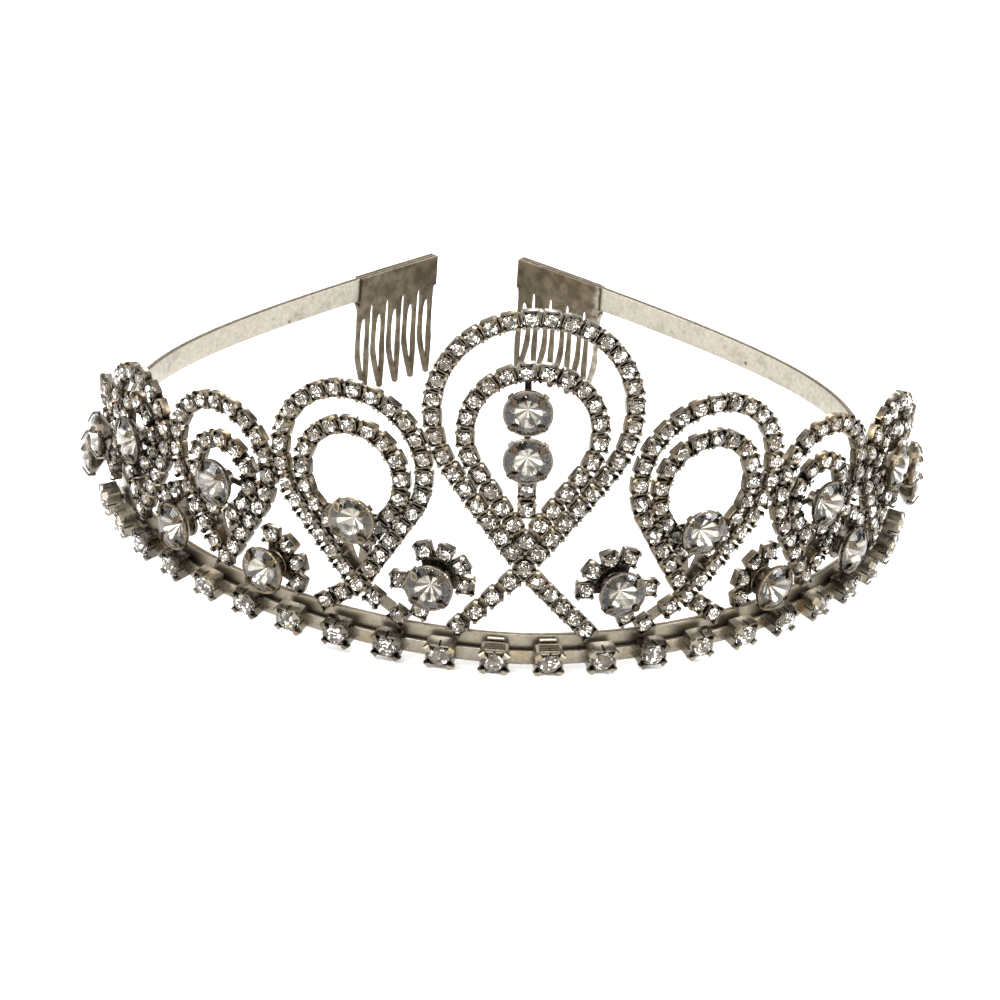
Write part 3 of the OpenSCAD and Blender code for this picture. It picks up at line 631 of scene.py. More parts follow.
def cut_stone(shell, seat, lift, lean, radius, table, crown, girdle, pavilion, behind=FOIL):
    """A round brilliant in its setting, spun and leaned by a hair, with its girdle at the lift."""
    axes, origin = seat
    spin, lean = shell.draw.uniform(0, TAU), shell.stray(lean)
    rotation = np.array(Matrix.Rotation(spin, 3, "Z")) @ np.array(Matrix.Rotation(lean, 3, "X"))
    sides = 2 * MAINS
    step = TAU / sides
    mid = radius - (radius - table) * MAIN_AT
    rise = (radius - mid * math.cos(step)) / (radius - table * math.cos(step))
    mid_high = crown * rise * MAIN_PROUD
    wheel = [(math.cos(step * i), math.sin(step * i)) for i in range(sides)]
    points = [(0, 0, -pavilion)]
    for r, z, spokes in (
        (radius, 0, wheel),
        (radius, girdle, wheel),
        (mid, girdle + mid_high, wheel[::2]),
        (table, girdle + crown, wheel[1::2]),
    ):
        points += [(r * c, r * s, z) for c, s in spokes]
    low, high, middle, top = 1, 1 + sides, 1 + 2 * sides, 1 + 2 * sides + MAINS
    faces, tone = [], []
    for i in range(sides):
        faces.append((0, low + (i + 1) % sides, low + i))
        # Each back facet gets a random tone as a painted reflection in the foil; on a large stone every
        # other one is lighter
        if behind == FOIL:
            tone.append(shell.draw.random())
        else:
            tone.append(BACK_TONE + BACK_STEP * (i % 2) + shell.draw.uniform(-0.25, 0.3))
    for i in range(sides):
        faces.append((low + i, low + (i + 1) % sides, high + (i + 1) % sides, high + i))
    for i in range(MAINS):
        after, between = (i + 1) % MAINS, high + 2 * i + 1
        faces += [
            (high + 2 * i, between, middle + i),
            (between, high + (2 * i + 2) % sides, middle + after),
            (between, middle + after, top + i, middle + i),
            (middle + after, top + after, top + i),
        ]
    faces.append(tuple(range(top, top + MAINS)))
    in_front = 4 * MAINS + 1
    finish = [behind] * sides + [FOIL] * sides + [GLASS] * in_front
    tone += [GIRDLE_TONE] * sides + [0.5] * in_front
    shell.add(points, faces, finish, False, (axes @ rotation, origin + axes[:, 2] * lift), tone)


# Steps in each rounded corner of a cup, and the levels of its wall between which a slit is open
CORNER_STEPS = 2
SLIT_LEVELS = range(2, 7)
# Share of a folded prong's width that its inner face has; thickness of its diamond, share of the
# diamond that the raised edge surrounds, and depth of the sunk middle
PRONG_INSIDE = 0.86
DIAMOND_THICK, DIAMOND_EDGE, DIAMOND_HOLLOW = 0.27, 0.7, 0.1
# Where the four prongs of a cup or setting stand
PRONG_ANGLES = [math.pi / 4 + math.pi / 2 * k for k in range(4)]
# Small softened edge of studs, plates and tabs
SOFT = 0.08
# How far a tie bar and a spoke reach under the cups that they hold, and where a spoke starts
TIE_LAP, SPOKE_LAP, SPOKE_FROM = 0.5, 0.35, 0.3
# How far a link reaches under its two cups, and its back and front above their backs
LINK_LAP, LINK_BACK, LINK_FRONT = 0.54, 0.06, 0.36
# Sides of a large setting and of a flower's plate
SETTING_SIDES, PLATE_SIDES = 40, 32


def cup_outline(width, corner, slit):
    """Stations round a cup's square outline as (x, y, beside a slit)."""
    half = width / 2
    local = []
    for i in range(CORNER_STEPS + 1):
        a = math.pi / 2 * i / CORNER_STEPS
        local.append((half - corner + corner * math.cos(a), half - corner + corner * math.sin(a), False))
    if slit:
        local = [(half, slit / 2, True), *local, (slit / 2, half, True)]
    stations = []
    for k in range(4):
        c, s = math.cos(math.pi / 2 * k), math.sin(math.pi / 2 * k)
        stations += [(x * c - y * s, x * s + y * c, edge) for x, y, edge in local]
    return stations


def cup_shell(shell, seat, finish, width, wall, rim, floor, corner, back_round, slit=0.0, slit_low=0.0):
    """Folded sheet cup: outside, rim and inside down to its floor, with slits where asked."""
    stations = cup_outline(width, corner, slit)
    n = len(stations)
    middle = slit_low or rim * 0.5
    inner = 1 - 2 * wall / width
    levels = (
        (0, 1 - 2 * back_round / width),
        (back_round * 0.6, 1.0),
        (middle, 1.0),
        (rim - 0.05, 1.0),
        (rim, 1 - 0.06 / width),
        (rim, inner),
        (middle, inner),
        (floor, inner),
    )
    points = [(x * scale, y * scale, z) for z, scale in levels for x, y, _ in stations]
    open_at = [i for i in range(n) if stations[i][2] and stations[(i + 1) % n][2]]
    low, high = SLIT_LEVELS[0] * n, SLIT_LEVELS[-1] * n
    faces = []
    for r in range(len(levels) - 1):
        for i in range(n):
            if i in open_at and r in SLIT_LEVELS[:-1]:
                continue
            j = (i + 1) % n
            faces.append((r * n + i, r * n + j, (r + 1) * n + j, (r + 1) * n + i))
    for i in open_at:
        j = (i + 1) % n
        faces.append((low + i, low + j, high + j, high + i))
        for k, order in ((i, 1), (j, -1)):
            faces.append(tuple(r * n + k for r in SLIT_LEVELS)[::order])
    faces.append(tuple(range(n - 1, -1, -1)))
    faces.append(tuple((len(levels) - 1) * n + i for i in range(n)))
    shell.add(points, faces, finish, True, seat)


def prong(shell, seat, angle, path, finish):
    """Folded strip: path of (distance out, height, half width, thickness) from its foot to its tip."""
    rings = []
    for k, (out, up, half, thick) in enumerate(path):
        before, after = path[max(k - 1, 0)], path[min(k + 1, len(path) - 1)]
        run, rise = after[0] - before[0], after[1] - before[1]
        norm = math.hypot(run, rise) or 1.0
        x, z = out - rise / norm * thick, up + run / norm * thick
        narrow = half * PRONG_INSIDE
        rings.append(spun([(out, -half, up), (out, half, up), (x, narrow, z), (x, -narrow, z)], angle))
    shell.loft(rings, finish, seat)


def diamond(shell, seat, angle, inner, outer, half, base, slope, finish):
    """Folded tip of a prong: a raised diamond with a sunk middle, lying on a slope; its sunk middle has
    painted shade.
    """
    mid = (inner + outer) / 2
    corners = [(outer, 0), (mid, half), (inner, 0), (mid, -half)]
    rings = []
    for scale, lift in (
        (1.0, -0.06),
        (1.0, DIAMOND_THICK * 0.7),
        (0.93, DIAMOND_THICK),
        (DIAMOND_EDGE, DIAMOND_THICK),
        (DIAMOND_EDGE * 0.86, DIAMOND_THICK - DIAMOND_HOLLOW),
    ):
        ring = [(mid + (x - mid) * scale, y * scale) for x, y in corners]
        rings.append(spun([(x, y, base + (outer - x) * slope + lift) for x, y in ring], angle))
    # The sunk middle's faces get the dark metal as painted shade in the hollow
    shell.loft(rings, [finish] * 12 + [PAINTED_SHADE] * 4 + [finish, PAINTED_SHADE], seat, False)


def corner_reach(width, corner):
    """Distance from a cup's middle to its rounded corner."""
    return width / 2 * math.sqrt(2) - corner * (math.sqrt(2) - 1)


def chain_cup(shell, cup):
    """One chain cup, given as (u, v, angle), with four prongs and its stone."""
    chains, layout = shell.chains, shell.layout
    sway, nod, spin = (shell.stray(1) * chains.sway for _ in range(3))
    seat = layout.panel_seat(cup[0], cup[1], layout.cup_back, cup[2] + spin * 0.6, sway, nod)
    finish = shell.plating()
    cup_shell(shell, seat, finish, chains.width, chains.wall, chains.rim, 0.55, chains.corner, 0.16)
    reach = corner_reach(chains.width, chains.corner)
    half, top = chains.prong_width / 2, chains.depth
    for angle in PRONG_ANGLES:
        bend = shell.stray(0.06)
        path = [
            (reach, chains.rim - 0.25, half, 0.16),
            (reach, top - 0.34, half, 0.16),
            (reach - 0.14, top - 0.14 + bend * 0.3, half * 0.94, 0.17),
            (reach - 0.42 + bend, top - 0.04 + bend * 0.3, half * 0.7, 0.16),
            (reach - 0.66 + bend, top - 0.02 + bend * 0.3, half * 0.36, 0.12),
        ]
        prong(shell, seat, angle, path, finish)
    radius = chains.stone
    cut = radius, radius * SMALL_TABLE, chains.stone_crown, 0.08, chains.stone_back
    cut_stone(shell, seat, chains.rim + 0.02, 0.05, *cut)


def link(shell, a, b):
    """Bar between two cups inside the thickness of their floors."""
    layout = shell.layout
    p, q = (layout.panel_place(cup[0], cup[1], layout.cup_back) for cup in (a, b))
    apart = np.linalg.norm(q - p)
    ax = (q - p) / apart
    ay = np.cross(layout.panel_seat((a[0] + b[0]) / 2, 0)[0][:, 2], ax)
    ay /= np.linalg.norm(ay)
    seat = np.column_stack([ax, ay, np.cross(ax, ay)]), (p + q) / 2
    reach, half = (apart - shell.chains.width) / 2 + LINK_LAP, shell.chains.link_width / 2
    shell.bar(seat, (-reach, -half, LINK_BACK), (reach, half, LINK_FRONT), 0.05)


def chain(shell, cups):
    """A run of cups with the bars that link them."""
    for cup in cups:
        chain_cup(shell, cup)
    for a, b in zip(cups, cups[1:]):
        link(shell, a, b)


def large_setting(shell, u, v, lift=0.0):
    """Stud, cone and collar with four folded prongs, and the large stone in it."""
    stones, back = shell.stones, shell.layout.cup_back
    radius, proud = stones.diameter / 2, stones.proud
    seat = shell.layout.panel_seat(u, v, lift, shell.stray(0.05), shell.stray(0.03), shell.stray(0.03))
    finish = shell.plating()
    collar = radius + stones.collar
    culet = proud - stones.pavilion
    profile = [
        (0.01, back), (stones.stud - SOFT, back), (stones.stud, back + SOFT),
        (stones.stud, culet + 0.1), (collar - 0.32, proud - 0.75), (collar - 0.08, proud - 0.42),
        (collar, proud - 0.2), (collar, proud + 0.16), (collar - 0.05, proud + 0.21),
        (radius - 0.04, proud + 0.21), (radius - 0.1, proud - 0.02), (0.01, culet - 0.05),
    ]
    shell.lathe(seat, profile, SETTING_SIDES, finish)
    slope = stones.crown / (radius - stones.table / 2)
    inner, outer = radius + 0.3 - stones.prong_long, collar + 0.12
    half, over = stones.prong_wide / 2, proud + stones.girdle + 0.02
    path = [
        (collar + 0.1, proud - 0.75, half * 0.8, 0.28),
        (outer, proud - 0.3, half * 0.8, 0.3),
        (outer, over + 0.05, half * 0.7, 0.3),
        (outer - 0.16, over + 0.3, half * 0.55, 0.24),
        (outer - 0.5, over + 0.42, half * 0.4, 0.2),
    ]
    for angle in PRONG_ANGLES:
        prong(shell, seat, angle, path, finish)
        diamond(shell, seat, angle, inner, outer + 0.02, half, over + 0.02, slope, finish)
    cut = radius, stones.table / 2, stones.crown, stones.girdle, stones.pavilion
    cut_stone(shell, seat, proud, 0.02, *cut, CLEAR_FOIL)


def tie_bar(shell, seat, reach_in, reach_out, turn_by=0.0, half=0.5):
    """Flat bar at the back of the panel, from one reach to the other along the seat's X."""
    axes, origin = seat
    turned = axes @ np.array(Matrix.Rotation(turn_by, 3, "Z"))
    back = shell.layout.cup_back
    front = back + shell.stones.tie_thick
    shell.bar((turned, origin), (reach_in, -half, back), (reach_out, half, front), 0.05)


def motif(shell, name):
    """Loops, legs, setting and stones of one motif."""
    runs, joins = motif_runs(name, shell.chains)
    for run in runs:
        chain(shell, run)
    for a, b in joins:
        link(shell, a, b)
    row = MOTIFS[name]
    if "stone" in row:
        u, v = row["stone"]
        large_setting(shell, u, v)
        (ru, rv), radius = row.get("inner", row["loop"])[:2]
        reach = math.sqrt(radius**2 - (v - rv) ** 2) - shell.chains.width / 2 + TIE_LAP
        tie_bar(shell, shell.layout.panel_seat(u, v), ru - u - reach, ru - u + reach)


def flower(shell, name):
    """Ring of cups round a large stone, on a plate with a spoke to each cup."""
    stones, back = shell.stones, shell.layout.cup_back
    (fu, fv), degrees = FLOWERS[name]
    angles = [math.radians(a) for a in degrees]
    for a in angles:
        place = fu + stones.flower_radius * math.cos(a), fv + stones.flower_radius * math.sin(a)
        chain_cup(shell, (*place, a + math.pi / 2))
    large_setting(shell, fu, fv)
    seat = shell.layout.panel_seat(fu, fv)
    plate, front = stones.stud + stones.plate_rim, back + stones.plate_thick
    profile = [(plate - SOFT, back), (plate, back + SOFT), (plate, front - SOFT), (plate - SOFT, front)]
    shell.lathe(seat, profile, PLATE_SIDES)
    for a in angles:
        reach = stones.flower_radius - shell.chains.width / 2 + SPOKE_LAP
        tie_bar(shell, seat, SPOKE_FROM, reach, a, stones.spoke / 2)


# Finer details of the rail: corner of a cup, ribs on the middle cups and on their tabs, share of the
# cups with brass showing
RAIL_CORNER = 0.5
CUP_RIBS, TAB_RIBS = 4, 3
RAIL_WEAR = 0.6


def rail_cup(shell, rail, u, ribs):
    """One of the rail's square cups with its slits, folded prongs and stone."""
    layout = shell.layout
    axes, origin = layout.seat(u, layout.rail_v, layout.rail_off, shell.stray(0.02), rail.tilt)
    seat = axes * np.array([rail.broad, 1.0, 1.0]), origin
    finish = shell.plating()
    width, depth = rail.cup_width, rail.cup_depth
    rim = depth - rail.prong + 0.25
    cup_shell(shell, seat, finish, width, rail.cup_wall, rim, 0.6, RAIL_CORNER, 0.2, rail.slit, 0.9)
    reach = corner_reach(width, RAIL_CORNER)
    for angle in PRONG_ANGLES:
        bend = shell.stray(0.05)
        path = [
            (reach, rim - 0.3, 0.5, 0.22),
            (reach, depth - 0.36, 0.5, 0.24),
            (reach - 0.18, depth - 0.1 + bend * 0.3, 0.46, 0.24),
            (reach - 0.55 + bend, depth, 0.36, 0.22),
            (reach - 0.95 + bend, depth - 0.02, 0.16, 0.16),
        ]
        prong(shell, seat, angle, path, finish)
    if ribs:
        across, top = width / 2 - 0.5, width / 2
        # The ribs get the dark metal as painted shade, all but the outermost one, which gets brass
        for i in range(CUP_RIBS):
            z, shade = 0.35 + 0.5 * i, BRASS if i == CUP_RIBS - 1 else PAINTED_SHADE
            shell.bar(seat, (-across, top - 0.1, z), (across, top + 0.12, z + 0.28), SOFT, shade)
    radius = width / 2 - rail.cup_wall + 0.04
    cut_stone(shell, seat, rim - 0.06, 0.04, radius, radius * SMALL_TABLE, 0.72, 0.1, 1.3)


def rail_piece(shell):
    """Strip, solder tabs, cups and stones of the rail."""
    layout, rail, band = shell.layout, sizes("rail"), sizes("band")
    run, depth = (-layout.rail_run, layout.rail_run), (layout.rail_back, layout.rail_front)
    shell.strip(run, depth, (rail.low, rail.low + rail.height), 0.16, RAIL_STEPS, BRASS)
    back, front = layout.band_front + band.gap, layout.rail_front - 0.1
    half = rail.tab_width / 2
    for side in SIDES.values():
        shell.side = side
        for k in range(rail.cups):
            u = (k + 0.5) * rail.pitch
            rail_cup(shell, rail, u, k == 0)
            top = layout.band_top - (rail.tab_drop if k == 0 else rail.short_tab_drop)
            seat = layout.seat(u, 0)
            shell.bar(seat, (-half, rail.low + 0.4, back), (half, top, front), SOFT)
            # The tall tabs' ribs get the dark metal as painted shade
            for i in range(TAB_RIBS if k == 0 else 0):
                v, across = top - 0.28 - 0.42 * i, half - 0.05
                shell.bar(seat, (-across, v, front - 0.1), (across, v + 0.24, front + 0.1), 0.07, PAINTED_SHADE)


# A tooth's rings; its wires start inside the spine and end past the tip's centre; its eye ends
# before the tip and has sides bowed by a power
TOOTH_ROWS = 34
TOOTH_ROOT, TOOTH_REACH, EYE_END, EYE_POWER = 0.5, 0.3, 2.4, 0.62
# Share of a tooth where it starts to taper, by a power, and how far its sides bow in before that
TAPER_FROM, TAPER_POWER, BOW = 0.62, 1.25, 0.12
# Run over which a tooth turns in, and over which it widens to its neighbours at the top
TOOTH_TURN, TOOTH_FLARE = 2.4, 1.5
TOOTH_EDGE = 0.16
# Rings and sides of the rounded tip, and how far its end rings stay off the poles
TIP_RINGS, TIP_SIDES, TIP_POLE = 9, 14, 0.02


def tooth(shell, combs, u, neighbours):
    """One forked tooth: a trunk that splits into two bowed wires and joins again in a rounded tip."""
    seat = shell.layout.seat(u, shell.layout.comb_low, shell.layout.tooth_off)
    half, mid, edge = combs.width / 2, combs.thick / 2, TOOTH_EDGE
    whole = combs.upper + combs.lower
    eye_top, eye_end = combs.trunk / whole, 1 - EYE_END / whole
    turn_from = combs.upper - TOOTH_TURN / 2
    for wire in (-1, 1):
        rings = []
        for i in range(TOOTH_ROWS + 1):
            run = -TOOTH_ROOT + (whole + TOOTH_REACH) * (i / TOOTH_ROWS)
            s = max(run, 0) / whole
            inside = 0.0
            if eye_top < s < eye_end:
                q = (s - eye_top) / (eye_end - eye_top)
                inside = (half - combs.wire) * math.sin(math.pi * q**EYE_POWER) ** EYE_POWER
            if s <= TAPER_FROM:
                outside = half - BOW * math.sin(math.pi * s / TAPER_FROM)
            else:
                taper = ((s - TAPER_FROM) / (1 - TAPER_FROM)) ** TAPER_POWER
                outside = half - (half - combs.tip * 0.42) * taper
            flare = max(0.0, 1 - max(run, 0) / TOOTH_FLARE)
            outside += neighbours * (1 - math.sqrt(1 - flare * flare))
            inside = min(inside, outside - 0.42)
            low, high = sorted((wire * (inside - (0.05 if inside <= 0.01 else 0)), wire * outside))
            past = max(run - turn_from, 0.0)
            lean = combs.bend * min(past / TOOTH_TURN, 1.0)
            fall = past * past / (2 * TOOTH_TURN) if past < TOOTH_TURN else past - TOOTH_TURN / 2
            y = -min(run, turn_from) - past * math.cos(lean * 0.6)
            c, sn = math.cos(lean), math.sin(lean)
            outline = cut_rect(low, high, -mid, mid, edge)
            rings.append([(x, y - w * sn, w * c - combs.bend * fall) for x, w in outline])
        shell.loft(rings, METAL, seat)
    end_y, end_z = -combs.upper - combs.lower * math.cos(combs.bend), -combs.lower * math.sin(combs.bend)
    rings = []
    for i in range(TIP_RINGS):
        a = math.pi * (i + TIP_POLE) / (TIP_RINGS - 1 + 2 * TIP_POLE)
        out, y = combs.tip / 2 * math.sin(a), end_y + combs.tip / 2 * math.cos(a)
        turns = [TAU * j / TIP_SIDES for j in range(TIP_SIDES)]
        rings.append([(out * math.cos(b), y, end_z + out * math.sin(b)) for b in turns])
    shell.loft(rings, METAL, seat)


def comb_piece(shell):
    """Channel over the band's end with its spine and forked teeth."""
    layout, combs, gap = shell.layout, sizes("combs"), sizes("band").gap
    outer, inner = layout.band_front + gap + combs.wall, layout.band_back - gap - combs.wall
    low, start, end = layout.comb_low, layout.comb_from, layout.run
    for depth in ((outer - combs.wall, outer), (inner, inner + combs.wall)):
        shell.strip((start, end), depth, (low, layout.band_top), 0.14, COMB_STEPS)
    run, depth = (start + 0.02, end - 0.02), (inner + 0.2, outer - 0.2)
    shell.strip(run, depth, (low, low + combs.spine), 0.1, COMB_STEPS)
    pitch = (combs.long - combs.width) / (combs.teeth - 1)
    for i in range(combs.teeth):
        tooth(shell, combs, start + combs.width / 2 + i * pitch, (pitch - combs.width) / 2 + 0.02)


BLACK, WHITE = (0, 0, 0), (1, 1, 1)
# Darkest tarnish, the foil's warm tint and its near-white painted glints, and the glass's warmer tint
SOOT = (0.02, 0.015, 0.01)
FOIL_WARM, PAINTED_GLINT = (0.125, 0.09, 0.06), (0.98, 0.97, 0.95)
GLASS_WARM = (0.9, 0.88, 0.85)
# Height of the metals' uneven surface, in metres
RELIEF = 0.00005


def scaled(shade, by):
    """A colour made lighter or darker."""
    return tuple(by * c for c in shade)


def mixed(a, b, share_a, share_b):
    """So much of one colour and so much of another."""
    return tuple(share_a * p + share_b * q for p, q in zip(a, b))


class Web:
    """The nodes of a material or world, whose patterns stay with their object or with the sky."""

    def __init__(self, tree, place):
        self.tree = tree
        self.place = self.node("ShaderNodeTexCoord", {}).outputs[place]

    def fill(self, node, values):
        """Fills a node's inputs, each with another node's output, a number or a colour."""
        for name, value in values.items():
            if isinstance(value, bpy.types.NodeSocket):
                self.tree.links.new(value, node.inputs[name])
            else:
                node.inputs[name].default_value = (*value, 1) if isinstance(value, tuple) else value

    def node(self, kind, values, **settings):
        """A new node with its settings and inputs."""
        node = self.tree.nodes.new(kind)
        for key, value in settings.items():
            setattr(node, key, value)
        self.fill(node, values)
        return node

    def shade(self, **values):
        """Fills the shader's inputs, whose names are written here with underscores."""
        shader = self.tree.nodes["Principled BSDF"]
        self.fill(shader, {name.replace("_", " "): value for name, value in values.items()})

    def noise(self, scale, detail=3.0, rough=0.55):
        """Noise with its scale in features a metre."""
        values = {"Vector": self.place, "Scale": scale, "Detail": detail, "Roughness": rough}
        return self.node("ShaderNodeTexNoise", values).outputs["Fac"]

    def cells(self, scale, output):
        """Cells of one feature each, as their colour or the distance from their middle."""
        return self.node("ShaderNodeTexVoronoi", {"Vector": self.place, "Scale": scale}).outputs[output]

    def ramp(self, value, low, high, start=BLACK, end=WHITE):
        """Ramp between two places of a value."""
        node = self.node("ShaderNodeValToRGB", {"Fac": value})
        for i, (at, shade) in enumerate(((low, start), (high, end))):
            node.color_ramp.elements[i].position = at
            node.color_ramp.elements[i].color = (*shade, 1)
        return node.outputs["Color"]

    def blend(self, share, a, b, how="MIX"):
        """Mix of two colours; any of the three may be another node's output."""
        values = {"Factor": share, "A": a, "B": b}
        return self.node("ShaderNodeMix", values, data_type="RGBA", blend_type=how).outputs["Result"]

    def along_axis(self, axis, low, high):
        """0 to 1 between two places along X, Y or Z, in metres."""
        parts = self.node("ShaderNodeSeparateXYZ", {"Vector": self.place})
        values = {"Value": parts.outputs[axis], "From Min": low, "From Max": high}
        return self.node("ShaderNodeMapRange", values).outputs["Result"]


def new_material(name):
    """The nodes of a new material."""
    material = bpy.data.materials.new(name)
    material.use_nodes = True
    return Web(material.node_tree, "Object")


def metal(name, base, patch, stain, patch_at, rough, bump, pits=900, patches=140, region=None):
    """Plated metal with worn patches, dark pits and a faint uneven surface.

    A region is (axis, from, to, colour): the metal turns to that colour between two places along the axis.
    """
    web = new_material(name)
    if region:
        base = web.blend(web.along_axis(*region[:3]), base, region[3])
    broad = web.ramp(web.noise(patches, 4), *patch_at)
    fine = web.noise(1500, 4, 0.6)
    pit_size = web.ramp(web.cells(pits, "Distance"), 0.05, 0.22, WHITE, BLACK)
    rare = web.ramp(web.noise(pits * 0.37, 2), 0.52, 0.66)
    pitted = web.blend(1.0, pit_size, rare, "MULTIPLY")
    tint = web.blend(broad, base, patch)
    tint = web.blend(web.ramp(fine, 0.35, 0.75, BLACK, scaled(WHITE, 0.35)), tint, stain)
    uneven = {"Strength": bump, "Distance": RELIEF, "Height": web.blend(0.5, pitted, fine)}
    relief = web.node("ShaderNodeBump", uneven, invert=True)
    web.shade(
        Base_Color=web.blend(pitted, tint, stain),
        Metallic=1.0,
        Roughness=web.ramp(fine, 0.3, 0.8, *(scaled(WHITE, r) for r in rough)),
        Normal=relief.outputs["Normal"],
    )


def foil(name, dark, light, warmth, glints=0):
    """Mirror foil behind a stone, each facet a different tone as painted reflections; a small stone's foil
    holds painted glints, specks of near-white, and a large stone's lightest facets are painted glints.
    """
    web = new_material(name)
    tone = web.node("ShaderNodeVertexColor", {}, layer_name="tone").outputs["Color"]
    warm = web.ramp(web.noise(330, 1), 0.5, 0.68, BLACK, scaled(WHITE, warmth))
    tint = web.blend(warm, web.ramp(tone, 0.2, 0.86, dark, light), FOIL_WARM)
    # Painted glints: near-white specks where the cells pass a threshold on a small stone, the lightest
    # facets on a large stone
    if glints:
        cells = web.cells(glints, "Color")
        tint = web.blend(0.5, tint, web.ramp(cells, 0.3, 0.7, dark, light))
        painted_glint_mask = web.ramp(cells, 0.71, 0.72)
    else:
        painted_glint_mask = web.ramp(tone, 0.9, 0.905)
    web.shade(Base_Color=web.blend(painted_glint_mask, tint, PAINTED_GLINT), Metallic=1.0, Roughness=0.12)


def crystal(glass):
    """Clear glass of the stones' crowns."""
    web = new_material("stone_crystal")
    tint = web.ramp(web.noise(90, 1), 0.4, 0.65, glass, GLASS_WARM)
    web.shade(Base_Color=tint, Metallic=0.0, Roughness=0.015, IOR=1.56, Transmission_Weight=1.0)


def crown_materials():
    """The crown's finishes in slot order, made once."""
    names = ("cup_plating", "worn_brass", "dark_tarnish", "stone_foil", "stone_crystal", "large_stone_foil")
    if names[0] not in bpy.data.materials:
        own = sizes("finishes")
        silver, plate, brass, stain, comb = own.silver, own.cup_silver, own.brass, own.stain, own.comb
        rust = scaled(brass, 0.36)
        tan = "Y", 0.0, -0.03, mixed(silver, brass, 0.45, 0.55)
        worn, golden = mixed(plate, brass, 0.5, 0.5), mixed(silver, brass, 0.55, 0.35)
        metal("cup_plating", plate, brass, stain, (0.56, 0.74), (0.16, 0.42), 0.5)
        metal("worn_brass", worn, brass, stain, (0.42, 0.6), (0.2, 0.5), 0.6)
        metal("rail_brass", golden, scaled(brass, 1.5), stain, (0.5, 0.62), (0.22, 0.5), 0.6, patches=260)
        # Dark metal that is painted shade, for the third slot's faces on top edges, ribs and sunk middles
        metal("dark_tarnish", stain, scaled(brass, 0.45), SOOT, (0.5, 0.7), (0.35, 0.7), 0.6)
        dull = scaled(silver, 0.6)
        metal("band_satin", silver, dull, stain, (0.55, 0.8), (0.32, 0.46), 0.35, 420, 260, tan)
        for hand, at, region in (("left", 0.4, None), ("right", 0.42, ("X", 0.0195, 0.021, silver))):
            name, patch_at = f"{hand}_comb_metal", (at, at + 0.2)
            metal(name, comb, rust, stain, patch_at, (0.32, 0.55), 0.6, 520, 420, region)
        foil("stone_foil", own.foil_dark, own.foil_light, 0.5, 3400)
        foil("large_stone_foil", scaled(own.foil_dark, 2.5), own.large_foil, 0.0)
        crystal(own.glass)
    return [bpy.data.materials[n] for n in names]


class CROWN_OT_headband(Operator):
    """Makes the springy strip that runs round the front and along both arms"""

    bl_idname = "crown.headband"
    bl_label = "Headband"

    def execute(self, context):
        crown_materials()
        shell, band = Shell(), sizes("band")
        layout = shell.layout
        # The faces along the strip's top edge get the dark metal as painted shade
        top_faces = range(STRIP_POINTS // 8, STRIP_POINTS * 3 // 8)
        around = [PAINTED_SHADE if i in top_faces else METAL for i in range(STRIP_POINTS)]
        run, depth = (-layout.run, layout.run), (layout.band_back, layout.band_front)
        finish = around * BAND_STEPS + [METAL, METAL]
        shell.strip(run, depth, (band.low, layout.band_top), band.edge_round, BAND_STEPS, finish)
        satin, painted_top_shade = bpy.data.materials["band_satin"], bpy.data.materials["dark_tarnish"]
        shell.finish_piece("headband_strip", ["headband"], materials=[satin, satin, painted_top_shade])
        return {"FINISHED"}


class CROWN_OT_rail(Operator):
    """Makes the rail with its solder tabs, square cups and stones"""

    bl_idname = "crown.rail"
    bl_label = "Rail"

    def execute(self, context):
        materials = crown_materials()
        materials[BRASS] = bpy.data.materials["rail_brass"]
        shell = Shell(seed=11)
        shell.wear = RAIL_WEAR
        rail_piece(shell)
        shell.finish_piece("stone_rail", ["rail", "rail_stones"], materials=materials)
        return {"FINISHED"}


class CROWN_OT_combs(Operator):
    """Makes the left and right hair combs"""

    bl_idname = "crown.combs"
    bl_label = "Combs"

    def execute(self, context):
        crown_materials()
        for hand, side in SIDES.items():
            shell = Shell(side)
            comb_piece(shell)
            worn = [bpy.data.materials[f"{hand}_comb_metal"]]
            shell.finish_piece(f"{hand}_hair_comb", [f"{hand}_comb"], "worn_plate", worn)
        return {"FINISHED"}


class CROWN_OT_centre(Operator):
    """Makes the centre motif with its two drop stones and stem"""

    bl_idname = "crown.centre"
    bl_label = "Centre motif"

    def execute(self, context):
        shell = Shell(seed=21)
        motif(shell, "centre")
        (_, high), radius, tip = MOTIFS["centre"]["inner"]
        chain_cup(shell, (*tip, math.pi / 4))
        lean, on_drop = shell.layout.drop_lean, shell.layout.on_drop
        chain(shell, [(*on_drop(q), math.pi / 2 + lean) for q in DROP_STEM])
        for q in DROP_STONES:
            large_setting(shell, *on_drop(q))
        reach = (high + radius - shell.chains.width / 2 + TIE_LAP - DROP_FOOT[1]) / math.cos(lean)
        tie_bar(shell, shell.layout.panel_seat(*DROP_FOOT, 0, math.pi / 2 + lean), 0, reach)
        nodes = ["centre_motif", "centre_chain_stones", "centre_upper_stone", "centre_lower_stone"]
        shell.finish_piece("centre_tear_motif", nodes)
        return {"FINISHED"}


class CROWN_OT_motifs(Operator):
    """Makes the inner, middle, outer and end motifs of both sides"""

    bl_idname = "crown.motifs"
    bl_label = "Side motifs"

    def execute(self, context):
        for hand, side in SIDES.items():
            for i, name in enumerate(("inner", "middle", "outer", "end")):
                shell = Shell(side, 31 + 10 * i + side)
                motif(shell, name)
                nodes = [f"{hand}_{name}_motif", f"{hand}_{name}_stone"]
                if name == "inner":
                    nodes.append(f"{hand}_inner_chain_stones")
                shell.finish_piece(f"{hand}_{name}_tear", nodes)
        return {"FINISHED"}


